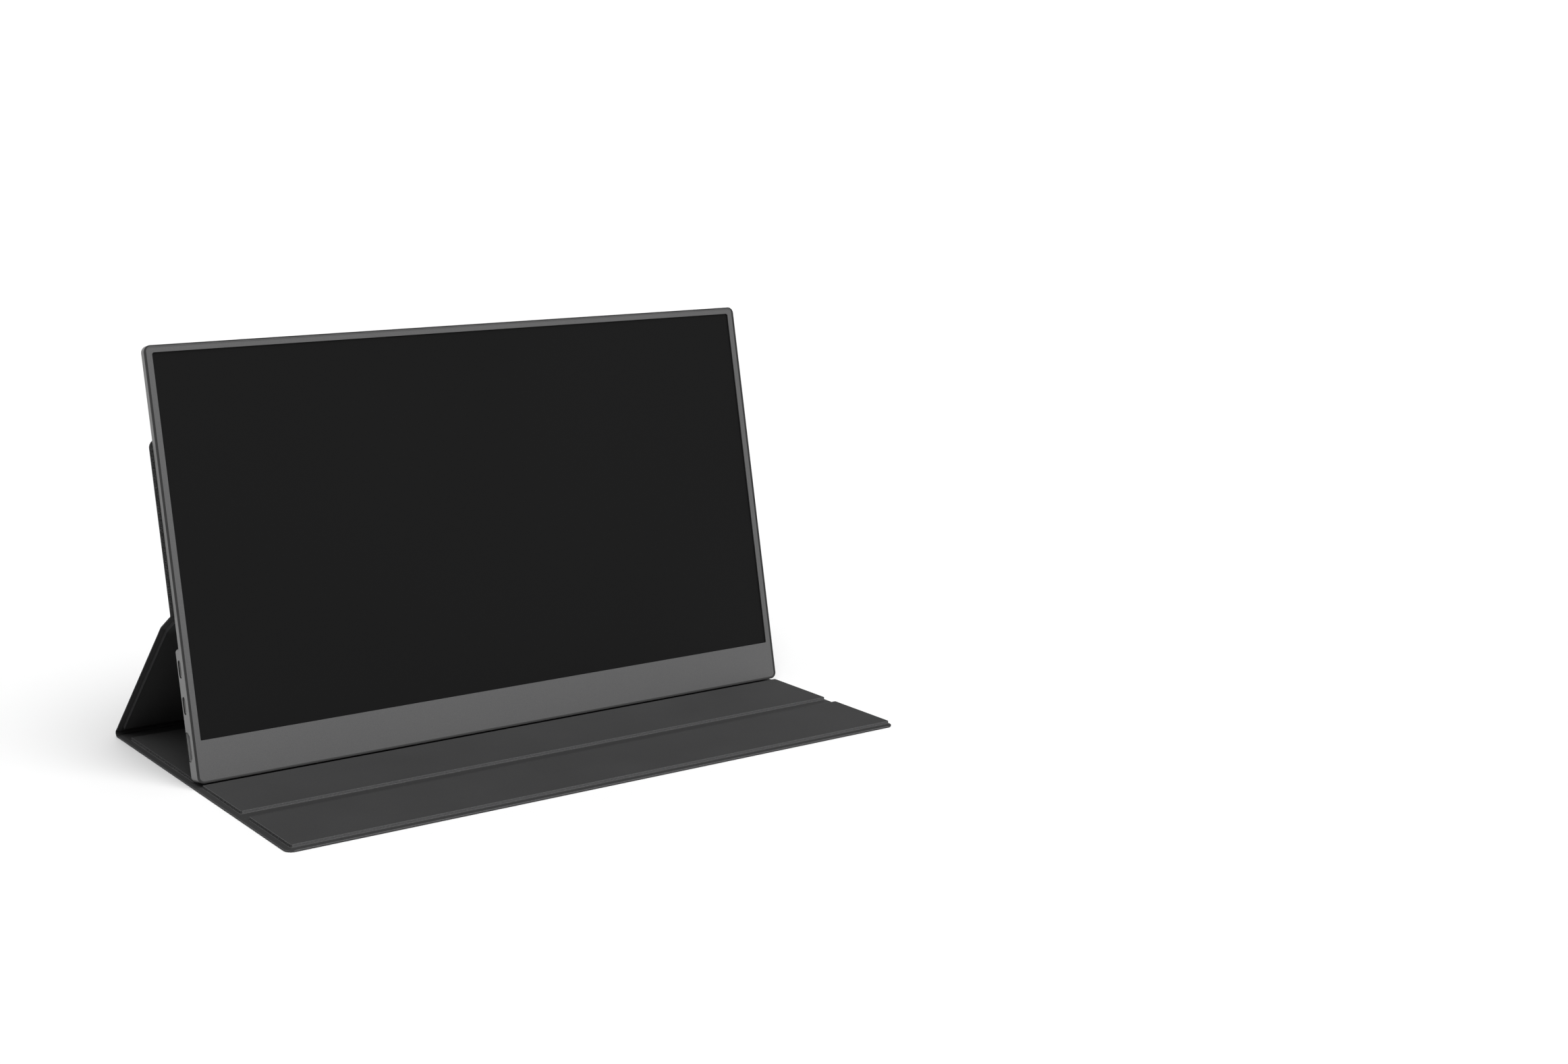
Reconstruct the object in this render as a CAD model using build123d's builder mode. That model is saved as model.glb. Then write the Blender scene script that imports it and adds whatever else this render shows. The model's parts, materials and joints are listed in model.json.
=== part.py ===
from build123d import *
import os
from math import atan2, cos, degrees, hypot, radians, sin, sqrt, tan

# A 15.6 inch portable monitor, leaning in the stand that its own folding cover makes.
# The floor of the cover lies flat, its rear part folds up and forward as a brace, and the top of
# the brace folds again into a holder, whose magnets keep it on the back of the monitor. The lower
# edge of the monitor stands in a groove between two pads of the floor.
# Frame: +X to the right seen from the front, +Y away from the viewer, +Z up, in millimetres.
# The origin is the middle of the footprint, on the surface that the cover lies on.

# Display, seen square on: the glass, the borders round it and the housing
glass_width = 344.2
glass_height = 193.5
side_border = 4.0
top_border = 3.6
chin = 21.3
lean = 11.884  # degrees back from upright
housing_corner = 3.4
wall = 1.0  # back wall of the housing
side_wall = 1.5
rim_wall = 0.65  # thin rim round the bezel
rim_proud = 0.2
seam = 0.35  # gap between the rim and the bezel
thin_edge_round = 1.8
bump_height = 67.8  # the deeper part that holds the electronics
bump_step = 3.9
bump_top_round = 1.9
bump_edge_round = 1.0

# Layers of the screen, from the front to the back
bezel_thick = 0.7
tape_thick = 0.1
cell_thick = 1.0
film_thick = 0.4
guide_thick = 0.8
reflector_thick = 0.2
tray_back = 0.3
tray_wall = 0.4
rear_gap = 0.5  # room between the tray and the steel plates
plate_thick = 0.6
cell_lap = 1.4  # how far the screen reaches behind the bezel at its sides
cell_foot = 3.5  # and at its lower edge
cell_head = 1.1  # and at its upper edge
tape_width = 0.9
glass_top_corner = 1.2
glass_bottom_corner = 0.5

# Sheets of the cover
cover_width = 354.2
sheet = 1.6  # skin and board together
pad_high = 1.6
pad_margin = 2.5  # bare hem beside the pads
pad_round = 0.4
board_inset = 1.8  # the board stays this far inside the pad above it
board_floor = 0.6  # leatherette under the board
cover_corner = 4.5
fold_gap = 0.15  # running gap round the bead of a fold
fold_relief = 3.0  # degrees taken off each bevel, so that the sheets never touch

# Floor of the cover, from its front edge backwards
front_hem = 1.8
front_pad_long = 48.4
second_groove = 10.0
middle_pad_long = 48.5
foot_groove = 11.0
rear_pad_long = 89.6
soft_strip = 18.0  # soft zone, from the pad to the rear fold
middle_fold_inset = 0.9  # from the fold to the middle pad

# Brace and holder
holder_low = 83.7  # lower end of the holder, up the back of the monitor
holder_high = 172.5
holder_gap = 0.2
bridge_long = 17.3  # short sheet between the brace and the holder
bridge_bend = 13.0
brace_pad_start = 8.5
fold_pad_gap = 0.6
bridge_pad_end = 1.0

# How far the folds travel, in degrees
holder_tilt = 70.0
flap_lift = 28.0
flap_fold = 120.0

# Ports, controls and circuit boards
pcb = 0.8
board_seat = 0.3  # height of the seats that the boards lie on
usb_wide = 8.94
usb_high = 3.26
usb_deep = 7.35
usb_wall = 0.3
usb_sink = 0.3
usb_upper_down = 10.3  # from the top of the deeper part to the middle of the socket
usb_lower_down = 28.6
usb_tongue = (6.7, 0.7)
usb_tongue_sink = 1.2
usb_end_wall = 1.2
port_clear = 0.12
hdmi_wide = 14.7
hdmi_high = 5.35
hdmi_narrow = 10.8
hdmi_chamfer = 2.1
hdmi_deep = 11.5
hdmi_wall = 0.35
hdmi_down = 49.4
hdmi_back_sink = 0.15
hdmi_tongue = (11.0, 1.1)
hdmi_tongue_sink = 1.5
hdmi_end_wall = 1.0
ear_thick = 0.4  # ears that hold a socket on its board
ear_long = 4.0
ear_wide = 1.5
jack_bore = 1.8
jack_nose = 2.1
jack_wide = 6.0
jack_high = 4.2
jack_deep = 12.0
jack_down = 49.4
jack_sink = 0.2
button_down = 10.3
button_long = 8.6
button_wide = 2.2
button_clear = 0.2
button_proud = 0.3
button_travel = 0.4
rocker_down = 28.6
rocker_long = 16.0
rocker_clear = 0.4
rocker_proud = 0.4
rocker_pin_radius = 0.5
rocker_pin_depth = 3.2  # from the outer face of the housing to the pin
pin_clear = 0.05
switch_gap = 0.2  # left between a control and its switch at the end of its travel
main_board_wide = 68.0
key_board_wide = 13.4
board_edge_gap = 1.1  # from the side wall to the boards
board_up = 8.2  # lower edge of the main board
key_board_up = 10.0
board_top_gap = 1.35  # from the boards to the top of their room
speaker_wide = 40.0
speaker_high = 14.0
speaker_deep = 3.2
speaker_corner = 2.0
cone_margin = (3.0, 2.0)
cone_band = 3.0
cone_sink = 0.6
speaker_gap = 5.5  # from the main board to the speaker beside it
speaker_up = 21.0
slot_count = 7
slot_pitch = 4.5
slot_long = 8.0
slot_wide = 1.1
post_radius = 2.2
post_up = 5.2
screw_radius = 0.75
screw_head_radius = 1.5
screw_head_thick = 0.5
hole_clear = 0.05
plate_wide = 70.0
plate_high = 12.0
plate_corner = 2.0
plate_gap = 20.0
plate_count = 4
magnet_wide = 24.0
magnet_high = 8.0
magnet_thick = 0.8
lining = 0.3
driver_board_high = 8.0
driver_board_wide = 240.0
flex_thick = 0.1
flex_wide = 26.0
flex_count = 6
ribbon_thick = 0.14

# Sizes that follow from the ones above
housing_width = glass_width + 2 * side_border
housing_height = chin + glass_height + top_border
half_wide = housing_width / 2
tape_back = bezel_thick + tape_thick
cell_back = tape_back + cell_thick
film_back = cell_back + film_thick
guide_back = film_back + guide_thick
reflector_back = guide_back + reflector_thick
tray_rear = reflector_back + tray_back
thin_depth = tray_rear + rear_gap + plate_thick + wall
bump_depth = thin_depth + bump_step
board_back = bump_depth - wall - board_seat
board_front = board_back - pcb
port_depth = board_front - usb_high / 2
hdmi_depth = bump_depth - hdmi_back_sink - hdmi_high / 2
room_top = bump_height - side_wall - bump_top_round / 2
usb_upper_up = bump_height - usb_upper_down
usb_lower_up = bump_height - usb_lower_down
hdmi_up = bump_height - hdmi_down
jack_up = bump_height - jack_down
button_up = bump_height - button_down
rocker_up = bump_height - rocker_down
inner_side = half_wide - side_wall
speaker_side = inner_side - board_edge_gap - main_board_wide - speaker_gap - speaker_wide / 2

# Places along the floor: the cover is centred on its length
half_sheet = sheet / 2
floor_long = (front_hem + front_pad_long + second_groove + middle_pad_long + foot_groove
              + rear_pad_long + soft_strip + half_sheet)
front_edge = -floor_long / 2
front_pad_start = front_edge + front_hem
front_pad_end = front_pad_start + front_pad_long
middle_pad_start = front_pad_end + second_groove
flap_axis = (front_pad_end + middle_pad_start) / 2
middle_pad_end = middle_pad_start + middle_pad_long
middle_axis = middle_pad_end + middle_fold_inset
rear_pad_start = middle_pad_end + foot_groove
rear_pad_end = rear_pad_start + rear_pad_long
rear_axis = rear_pad_end + soft_strip

# The monitor's own frame: x to the right, y up the screen, z out of the screen
foot_inset = 1.2  # from the middle pad to the front lower edge of the monitor
foot_clear = 0.2
tilt = radians(lean)
foot_high = sheet + foot_clear + (bump_depth - bump_edge_round) * sin(tilt)
screen = Plane(origin=(0, middle_pad_end + foot_inset, foot_high), x_dir=(1, 0, 0),
               z_dir=(0, -cos(tilt), sin(tilt)))


def cover_plane(axis, direction):
    """Plane of a sheet: x to the right, y along the sheet from its fold, z towards its pads."""
    along = Vector(0, direction[0], direction[1]).normalized()
    inward = Vector(1, 0, 0).cross(along)
    start = Vector(0, axis[0], axis[1]) - inward * half_sheet
    return Plane(origin=start, x_dir=(1, 0, 0), z_dir=inward)


def side_of(plane):
    """The same place seen from the side: x along the sheet, y towards its pads."""
    return Plane(origin=plane.origin, x_dir=plane.y_dir, z_dir=plane.x_dir)


# The folds, as (y, z) points of the frame: rear fold, bend of the brace, foot of the holder
holder_depth = thin_depth + holder_gap + half_sheet
holder_axis_point = screen.from_local_coords((0, holder_low, -holder_depth))
rear_fold = (rear_axis, half_sheet)
holder_fold = (holder_axis_point.Y, holder_axis_point.Z)
span = hypot(holder_fold[0] - rear_fold[0], holder_fold[1] - rear_fold[1])
bend = radians(bridge_bend)
brace_long = sqrt(span ** 2 - (bridge_long * sin(bend)) ** 2) - bridge_long * cos(bend)
span_slope = atan2(holder_fold[1] - rear_fold[1], rear_fold[0] - holder_fold[0])
brace_slope = span_slope + atan2(bridge_long * sin(bend), brace_long + bridge_long * cos(bend))
bridge_slope = brace_slope - bend
bend_fold = (rear_fold[0] - brace_long * cos(brace_slope),
             rear_fold[1] + brace_long * sin(brace_slope))

floor = Plane.XY
brace_plane = cover_plane(rear_fold, (-cos(brace_slope), sin(brace_slope)))
bridge_plane = cover_plane(bend_fold, (-cos(bridge_slope), sin(bridge_slope)))
holder_plane = cover_plane(holder_fold, (sin(tilt), cos(tilt)))
holder_long = holder_high - holder_low

# Bevels of the fold ends: the angle of each end's inner and outer half from the sheet
square = 90.0
rear_bevel = (degrees(brace_slope) / 2 - fold_relief, square)
bend_bevel = ((180 - bridge_bend) / 2 - fold_relief, square)
holder_corner = 180 - lean - square + degrees(bridge_slope)
holder_bevel = (square, (holder_corner - holder_tilt) / 2 - fold_relief)
middle_bevel = ((180 - flap_lift) / 2 - fold_relief, square)
flap_bevel = ((180 - flap_fold) / 2 - fold_relief, square)


def slab(plane, x, y, z, mode=Mode.ADD, corner=0.0):
    """Add or cut a flat slab between x, y and z ranges of a plane, in the open part."""
    with BuildSketch(plane.offset(z[0])) as outline:
        with Locations(((x[0] + x[1]) / 2, (y[0] + y[1]) / 2)):
            if corner:
                RectangleRounded(x[1] - x[0], y[1] - y[0], corner)
            else:
                Rectangle(x[1] - x[0], y[1] - y[0])
    extrude(outline.sketch, amount=z[1] - z[0], mode=mode)


def rod(plane, x, y, z, radius, mode=Mode.ADD):
    """Add or cut a round rod that stands on a plane, in the open part."""
    with BuildSketch(plane.offset(z[0])) as outline:
        with Locations((x, y)):
            Circle(radius)
    extrude(outline.sketch, amount=z[1] - z[0], mode=mode)


def side_plane(sign, up, depth):
    """Plane on the outer side face of the housing: z points out, x up the screen."""
    centre = screen.from_local_coords((sign * half_wide, up, -depth))
    return Plane(origin=centre, x_dir=screen.y_dir, z_dir=screen.x_dir * sign)


def bevel_run(angle):
    """How far along the sheet a bevel of this angle reaches on one face."""
    return half_sheet / tan(radians(angle))


def fold_sheet(plane, start, end, start_bevel=None, end_bevel=None, bead_at=(), socket_at=()):
    """Add one leatherette sheet. A folded end comes to its fold line in a bevel on each face,
    carries a round bead there, or is hollowed to go round the bead of the next sheet."""
    outline = []
    if start_bevel:
        outline += [(start + bevel_run(start_bevel[1]), 0), (start, half_sheet),
                    (start + bevel_run(start_bevel[0]), sheet)]
    else:
        outline += [(start, 0), (start, sheet)]
    if end_bevel:
        outline += [(end - bevel_run(end_bevel[0]), sheet), (end, half_sheet),
                    (end - bevel_run(end_bevel[1]), 0)]
    else:
        outline += [(end, sheet), (end, 0)]
    with BuildSketch(side_of(plane)) as profile:
        Polygon(*outline, align=None)
        for place in bead_at:
            with Locations((place, half_sheet)):
                Circle(half_sheet)
        for place in socket_at:
            with Locations((place, half_sheet)):
                Circle(half_sheet + fold_gap, mode=Mode.SUBTRACT)
    extrude(profile.sketch, amount=cover_width / 2, both=True)


def free_corners(part, plane, which):
    """The two upright corner edges at one end of a sheet: 0 is its start, -1 its end."""
    upright = part.edges().filter_by(Axis(plane.origin, plane.z_dir))
    return upright.group_by(Axis(plane.origin, plane.y_dir))[which]


pad_half = cover_width / 2 - pad_margin
board_half = pad_half - board_inset


def board_range(pad_start, pad_end):
    """Where the stiffening board lies under a pad."""
    return (pad_start + board_inset, pad_end - board_inset)


def board_pocket(plane, pad_start, pad_end):
    """Cut the pocket that holds the stiffening board, open towards the pad."""
    slab(plane, (-board_half, board_half), board_range(pad_start, pad_end),
         (board_floor, sheet), mode=Mode.SUBTRACT)


def make_board(plane, pad_start, pad_end):
    """Add the stiffening board that fills its pocket."""
    slab(plane, (-board_half, board_half), board_range(pad_start, pad_end), (board_floor, sheet))


def make_pad(plane, pad_start, pad_end):
    """Add a raised pad on a sheet, with its upper edges rounded."""
    with BuildSketch(plane.offset(sheet)) as outline:
        with Locations((0, (pad_start + pad_end) / 2)):
            RectangleRounded(2 * pad_half, pad_end - pad_start, cover_corner - pad_margin)
    extrude(outline.sketch, amount=pad_high)


def round_top(part, plane, size):
    """Round the edges of a part's highest face above a plane."""
    top = part.faces().sort_by(Axis(plane.origin, plane.z_dir))[-1]
    fillet(top.edges(), size)


def finish(part, label):
    """Name a finished piece and write it."""
    part.label = label
    export_step(part, "parts/" + label + ".step")


os.makedirs("parts", exist_ok=True)

# Floor of the cover: rear sheet, middle sheet and front sheet, each with its board and pad
with BuildPart() as base_skin:
    fold_sheet(floor, middle_axis, rear_axis, middle_bevel, rear_bevel,
               bead_at=(middle_axis, rear_axis))
    board_pocket(floor, rear_pad_start, rear_pad_end)
finish(base_skin.part, "base_skin")

with BuildPart() as base_board:
    make_board(floor, rear_pad_start, rear_pad_end)
finish(base_board.part, "base_board")

with BuildPart() as base_pad:
    make_pad(floor, rear_pad_start, rear_pad_end)
    round_top(base_pad, floor, pad_round)
finish(base_pad.part, "base_pad")

with BuildPart() as middle_skin:
    fold_sheet(floor, flap_axis, middle_axis, flap_bevel, middle_bevel,
               bead_at=(flap_axis,), socket_at=(middle_axis,))
    board_pocket(floor, middle_pad_start, middle_pad_end)
finish(middle_skin.part, "middle_skin")

with BuildPart() as middle_board:
    make_board(floor, middle_pad_start, middle_pad_end)
finish(middle_board.part, "middle_board")

with BuildPart() as middle_pad:
    make_pad(floor, middle_pad_start, middle_pad_end)
    round_top(middle_pad, floor, pad_round)
finish(middle_pad.part, "middle_pad")

with BuildPart() as front_skin:
    fold_sheet(floor, front_edge, flap_axis, None, flap_bevel, socket_at=(flap_axis,))
    fillet(free_corners(front_skin, floor, 0), cover_corner)
    board_pocket(floor, front_pad_start, front_pad_end)
finish(front_skin.part, "front_skin")

# Two flat magnets at the front edge close the cover over the screen
front_magnet_edge = 2.0  # from the board's edge to the magnets
front_magnet_up = front_pad_start + board_inset + front_magnet_edge + magnet_high / 2
front_magnet_side = 120.0
front_magnet_spots = [(-front_magnet_side, front_magnet_up), (front_magnet_side, front_magnet_up)]

with BuildPart() as front_board:
    make_board(floor, front_pad_start, front_pad_end)
    with BuildSketch(floor.offset(sheet - magnet_thick)) as front_cells:
        with Locations(*front_magnet_spots):
            Rectangle(magnet_wide, magnet_high)
    extrude(front_cells.sketch, amount=magnet_thick, mode=Mode.SUBTRACT)
finish(front_board.part, "front_board")

with BuildPart() as front_magnets:
    with BuildSketch(floor.offset(sheet - magnet_thick)) as front_magnet_shape:
        with Locations(*front_magnet_spots):
            Rectangle(magnet_wide, magnet_high)
    extrude(front_magnet_shape.sketch, amount=magnet_thick)
finish(front_magnets.part, "front_magnets")

with BuildPart() as front_pad:
    make_pad(floor, front_pad_start, front_pad_end)
    round_top(front_pad, floor, pad_round)
finish(front_pad.part, "front_pad")

# Brace: the long sheet from the rear fold up to the bend
brace_pad_end = brace_long - fold_pad_gap
with BuildPart() as brace_skin:
    fold_sheet(brace_plane, 0, brace_long, rear_bevel, bend_bevel,
               bead_at=(brace_long,), socket_at=(0,))
    board_pocket(brace_plane, brace_pad_start, brace_pad_end)
finish(brace_skin.part, "brace_skin")

with BuildPart() as brace_board:
    make_board(brace_plane, brace_pad_start, brace_pad_end)
finish(brace_board.part, "brace_board")

with BuildPart() as brace_pad:
    make_pad(brace_plane, brace_pad_start, brace_pad_end)
    round_top(brace_pad, brace_plane, pad_round)
finish(brace_pad.part, "brace_pad")

# Bridge: the short sheet from the bend to the foot of the holder
bridge_pad_range = (fold_pad_gap, bridge_long - bridge_pad_end)
with BuildPart() as bridge_skin:
    fold_sheet(bridge_plane, 0, bridge_long, bend_bevel, holder_bevel,
               bead_at=(bridge_long,), socket_at=(0,))
    board_pocket(bridge_plane, *bridge_pad_range)
finish(bridge_skin.part, "bridge_skin")

with BuildPart() as bridge_board:
    make_board(bridge_plane, *bridge_pad_range)
finish(bridge_board.part, "bridge_board")

with BuildPart() as bridge_pad:
    make_pad(bridge_plane, *bridge_pad_range)
    round_top(bridge_pad, bridge_plane, pad_round)
finish(bridge_pad.part, "bridge_pad")

# Holder: the sheet on the back of the monitor, with a flat lining over its board and magnets
holder_hem = 3.0
lining_range = (holder_hem, holder_long - holder_hem)
lining_half = cover_width / 2 - holder_hem
holder_board_half = lining_half - board_inset
holder_board_range = (lining_range[0] + board_inset, lining_range[1] - board_inset)
holder_board_floor = sheet - lining - magnet_thick
holder_board_slab = (holder_board_floor, sheet - lining)

with BuildPart() as holder_skin:
    fold_sheet(holder_plane, 0, holder_long, holder_bevel, None, socket_at=(0,))
    fillet(free_corners(holder_skin, holder_plane, -1), cover_corner)
    slab(holder_plane, (-lining_half, lining_half), lining_range, (sheet - lining, sheet),
         mode=Mode.SUBTRACT)
    slab(holder_plane, (-holder_board_half, holder_board_half), holder_board_range,
         holder_board_slab, mode=Mode.SUBTRACT)
finish(holder_skin.part, "holder_skin")

# Magnets in two rows, each row behind a row of steel plates in the monitor
magnet_edge = 8.0  # from the end of the board to a row of magnets
magnet_rows = (holder_board_range[0] + magnet_edge, holder_board_range[1] - magnet_edge)
magnet_pitch = plate_wide + plate_gap
magnet_columns = [magnet_pitch * (number - (plate_count - 1) / 2) for number in range(plate_count)]
magnet_spots = [(x, y) for x in magnet_columns for y in magnet_rows]

with BuildPart() as holder_board:
    slab(holder_plane, (-holder_board_half, holder_board_half), holder_board_range,
         holder_board_slab)
    with BuildSketch(holder_plane.offset(holder_board_floor)) as magnet_cells:
        with Locations(*magnet_spots):
            Rectangle(magnet_wide, magnet_high)
    extrude(magnet_cells.sketch, amount=magnet_thick, mode=Mode.SUBTRACT)
finish(holder_board.part, "holder_board")

with BuildPart() as holder_magnets:
    with BuildSketch(holder_plane.offset(holder_board_floor)) as magnet_shape:
        with Locations(*magnet_spots):
            Rectangle(magnet_wide, magnet_high)
    extrude(magnet_shape.sketch, amount=magnet_thick)
finish(holder_magnets.part, "holder_magnets")

with BuildPart() as holder_lining:
    slab(holder_plane, (-lining_half, lining_half), lining_range, (sheet - lining, sheet))
finish(holder_lining.part, "holder_lining")

# Front bezel: a thin plate round the glass, with four screw posts behind the chin
bezel_inset = rim_wall + seam
bezel_half = half_wide - bezel_inset
opening_x = (-glass_width / 2, glass_width / 2)
opening_y = (chin, chin + glass_height)
post_room = 26.1  # from the side of the housing to the outer screws
post_count = 4
post_pitch = 2 * (half_wide - post_room) / (post_count - 1)
post_sides = [post_pitch * (number - (post_count - 1) / 2) for number in range(post_count)]
post_seat = 0.6
post_end = bump_depth - wall - post_seat
pilot_depth = 4.0

with BuildPart() as front_bezel:
    slab(screen, (-bezel_half, bezel_half), (bezel_inset, housing_height - bezel_inset),
         (-bezel_thick, 0), corner=housing_corner - bezel_inset)
    slab(screen, opening_x, opening_y, (-bezel_thick, 0), mode=Mode.SUBTRACT)
    opening_edges = front_bezel.edges().filter_by(Axis(screen.origin, screen.z_dir))
    inner_edges = opening_edges.filter_by(
        lambda e: abs(abs(e.center().X) - glass_width / 2) < seam)
    ordered = inner_edges.sort_by(Axis(screen.origin, screen.y_dir))
    fillet(ordered[:2], glass_bottom_corner)
    fillet(ordered[2:], glass_top_corner)
    for side in post_sides:
        rod(screen, side, post_up, (-post_end, -bezel_thick), post_radius)
        rod(screen, side, post_up, (-post_end, -post_end + pilot_depth),
            screw_radius + hole_clear, mode=Mode.SUBTRACT)
finish(front_bezel.part, "front_bezel")

# Screen stack inside its tray
cell_x = (-glass_width / 2 - cell_lap, glass_width / 2 + cell_lap)
cell_low = chin - cell_foot
cell_high = chin + glass_height + cell_head

with BuildPart() as bezel_tape:
    slab(screen, cell_x, (chin - cell_lap, cell_high), (-tape_back, -bezel_thick))
    slab(screen, (cell_x[0] + tape_width, cell_x[1] - tape_width),
         (chin - cell_lap + tape_width, cell_high - tape_width), (-tape_back, -bezel_thick),
         mode=Mode.SUBTRACT)
finish(bezel_tape.part, "bezel_tape")

with BuildPart() as lcd_panel:
    slab(screen, cell_x, (cell_low, cell_high), (-cell_back, -tape_back))
finish(lcd_panel.part, "lcd_panel")

led_high = 2.4
led_gap = 0.4  # from the lamps to the guide
stack_low = cell_low + led_high + led_gap
with BuildPart() as optical_films:
    slab(screen, cell_x, (cell_low + cell_lap, cell_high), (-film_back, -cell_back))
finish(optical_films.part, "optical_films")

with BuildPart() as light_guide:
    slab(screen, cell_x, (stack_low, cell_high), (-guide_back, -film_back))
finish(light_guide.part, "light_guide")

with BuildPart() as reflector_sheet:
    slab(screen, cell_x, (stack_low, cell_high), (-reflector_back, -guide_back))
finish(reflector_sheet.part, "reflector_sheet")

# Light bar: a strip along the lower edge with a row of lamps that shine up into the guide
led_count = 48
led_pitch = (cell_x[1] - cell_x[0]) / led_count
led_strip = 0.25
lamp_share = 0.45  # of the pitch
lamp_high = 1.0
lamp_inset = 0.2
with BuildPart() as led_bar:
    slab(screen, cell_x, (cell_low, cell_low + led_high),
         (-reflector_back, -reflector_back + led_strip))
    with BuildSketch(screen.offset(-reflector_back + led_strip)) as lamps:
        with Locations((0, cell_low + led_high - lamp_inset - lamp_high / 2)):
            with GridLocations(led_pitch, 1, led_count, 1):
                Rectangle(lamp_share * led_pitch, lamp_high)
    extrude(lamps.sketch, amount=guide_thick - led_strip)
finish(led_bar.part, "led_bar")

tray_x = (cell_x[0] - tray_wall, cell_x[1] + tray_wall)
tray_y = (cell_low - tray_wall, cell_high + tray_wall)
with BuildPart() as panel_tray:
    slab(screen, tray_x, tray_y, (-tray_rear, -tape_back))
    slab(screen, cell_x, (cell_low, cell_high), (-reflector_back, -tape_back), mode=Mode.SUBTRACT)
    # the lower wall is cut down, so that the flexes pass over it
    slab(screen, (cell_x[0] + wall, cell_x[1] - wall), (tray_y[0], cell_low),
         (-cell_back - 2 * flex_thick, -tape_back), mode=Mode.SUBTRACT)
finish(panel_tray.part, "panel_tray")

# Driver board below the screen, with the flexes that join it to the glass
driver_gap = 0.5
driver_high = tray_y[0] - driver_gap
driver_low = driver_high - driver_board_high
driver_chip_pitch = 40.0
driver_chip = (9.0, 3.0, 0.7)
driver_chip_count = 5
driver_chip_up = 2.4
flex_board_lap = 1.2
flex_glass_lap = 1.0
with BuildPart() as driver_board:
    slab(screen, (-driver_board_wide / 2, driver_board_wide / 2), (driver_low, driver_high),
         (-cell_back, -cell_back + pcb))
    with BuildSketch(screen.offset(-cell_back)) as driver_chips:
        with Locations((driver_chip_pitch / 2, driver_low + driver_chip_up)):
            with GridLocations(driver_chip_pitch, 1, driver_chip_count, 1):
                Rectangle(driver_chip[0], driver_chip[1])
    extrude(driver_chips.sketch, amount=-driver_chip[2])
finish(driver_board.part, "driver_board")

flex_low = driver_high - flex_board_lap
flex_high = cell_low + flex_glass_lap
with BuildPart() as driver_flexes:
    with BuildSketch(screen.offset(-cell_back - flex_thick)) as flex_shape:
        with Locations((0, (flex_low + flex_high) / 2)):
            with GridLocations(driver_board_wide / flex_count, 1, flex_count, 1):
                Rectangle(flex_wide, flex_high - flex_low)
    extrude(flex_shape.sketch, amount=flex_thick)
finish(driver_flexes.part, "driver_flexes")

# Steel plates for the holder's magnets, and foam that carries the tray
plate_back = thin_depth - wall
plate_rows = [holder_low + y for y in magnet_rows]
plate_spots = [(x, y) for x in magnet_columns for y in plate_rows]
with BuildPart() as magnet_plates:
    with BuildSketch(screen.offset(-plate_back)) as plate_shape:
        with Locations(*plate_spots):
            RectangleRounded(plate_wide, plate_high, plate_corner)
    extrude(plate_shape.sketch, amount=plate_thick)
finish(magnet_plates.part, "magnet_plates")

foam_end_gap = 2.0
foam_wide = 8.0
foam_sides = [x + magnet_pitch / 2 for x in magnet_columns[:-1]]
foam_up = (plate_rows[0] + plate_rows[1]) / 2
with BuildPart() as foam_strips:
    with BuildSketch(screen.offset(-plate_back)) as foam_shape:
        with Locations(*[(x, foam_up) for x in foam_sides]):
            Rectangle(foam_wide, plate_rows[1] - plate_rows[0] - plate_high - 2 * foam_end_gap)
    extrude(foam_shape.sketch, amount=plate_back - tray_rear)
finish(foam_strips.part, "foam_strips")

# Circuit boards, low in the deeper part of the housing
main_x = (-inner_side + board_edge_gap, -inner_side + board_edge_gap + main_board_wide)
main_y = (board_up, room_top - board_top_gap)
port_room = 14.0  # from the edge of the main board to the screws behind the sockets
screw_inset = 3.5
key_screw_above_jack = 9.6
main_screws = [(x, y) for x in (main_x[0] + port_room, main_x[1] - screw_inset)
               for y in (main_y[0] + screw_inset, main_y[1] - screw_inset)]
key_x = (inner_side - board_edge_gap - key_board_wide, inner_side - board_edge_gap)
key_y = (key_board_up, main_y[1])
key_screws = [(key_x[0] + screw_inset, y)
              for y in (jack_up + key_screw_above_jack, key_y[1] - screw_inset)]
board_screw_spots = main_screws + key_screws
seat_radius = 2.0
screw_skin = 0.4  # left of the back wall behind a board screw
board_screw_end = bump_depth - screw_skin
socket_end = half_wide - usb_sink
port_gap = 0.3
chip_side = 14.0
chip_high = 0.9
can_wide = 34.0
can_high = 26.0
can_tall = 1.6
can_wall = 0.2
can_x = main_x[1] - 10 - can_wide / 2
can_y = main_y[1] - 7 - can_high / 2
cable_half = 6.0
plug_rim = 1.5  # the plug is this much wider than its cable on each side
plug_high = 3.0
plug_tall = 1.2
cable_end = can_y - can_high / 2 - plug_high - 0.8
power_tall = 1.5
power_gap = 2.5  # from the can to the middle of the nearest coils
power_rows = (3, 9.0, 5.4)  # how many, how far apart and how long
power_columns = (2, 7.0, 4.6)
filter_rows = (2, 4.0, 1.8)
filter_columns = (3, 5.0, 3.2)
filter_inset = 12.0

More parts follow.
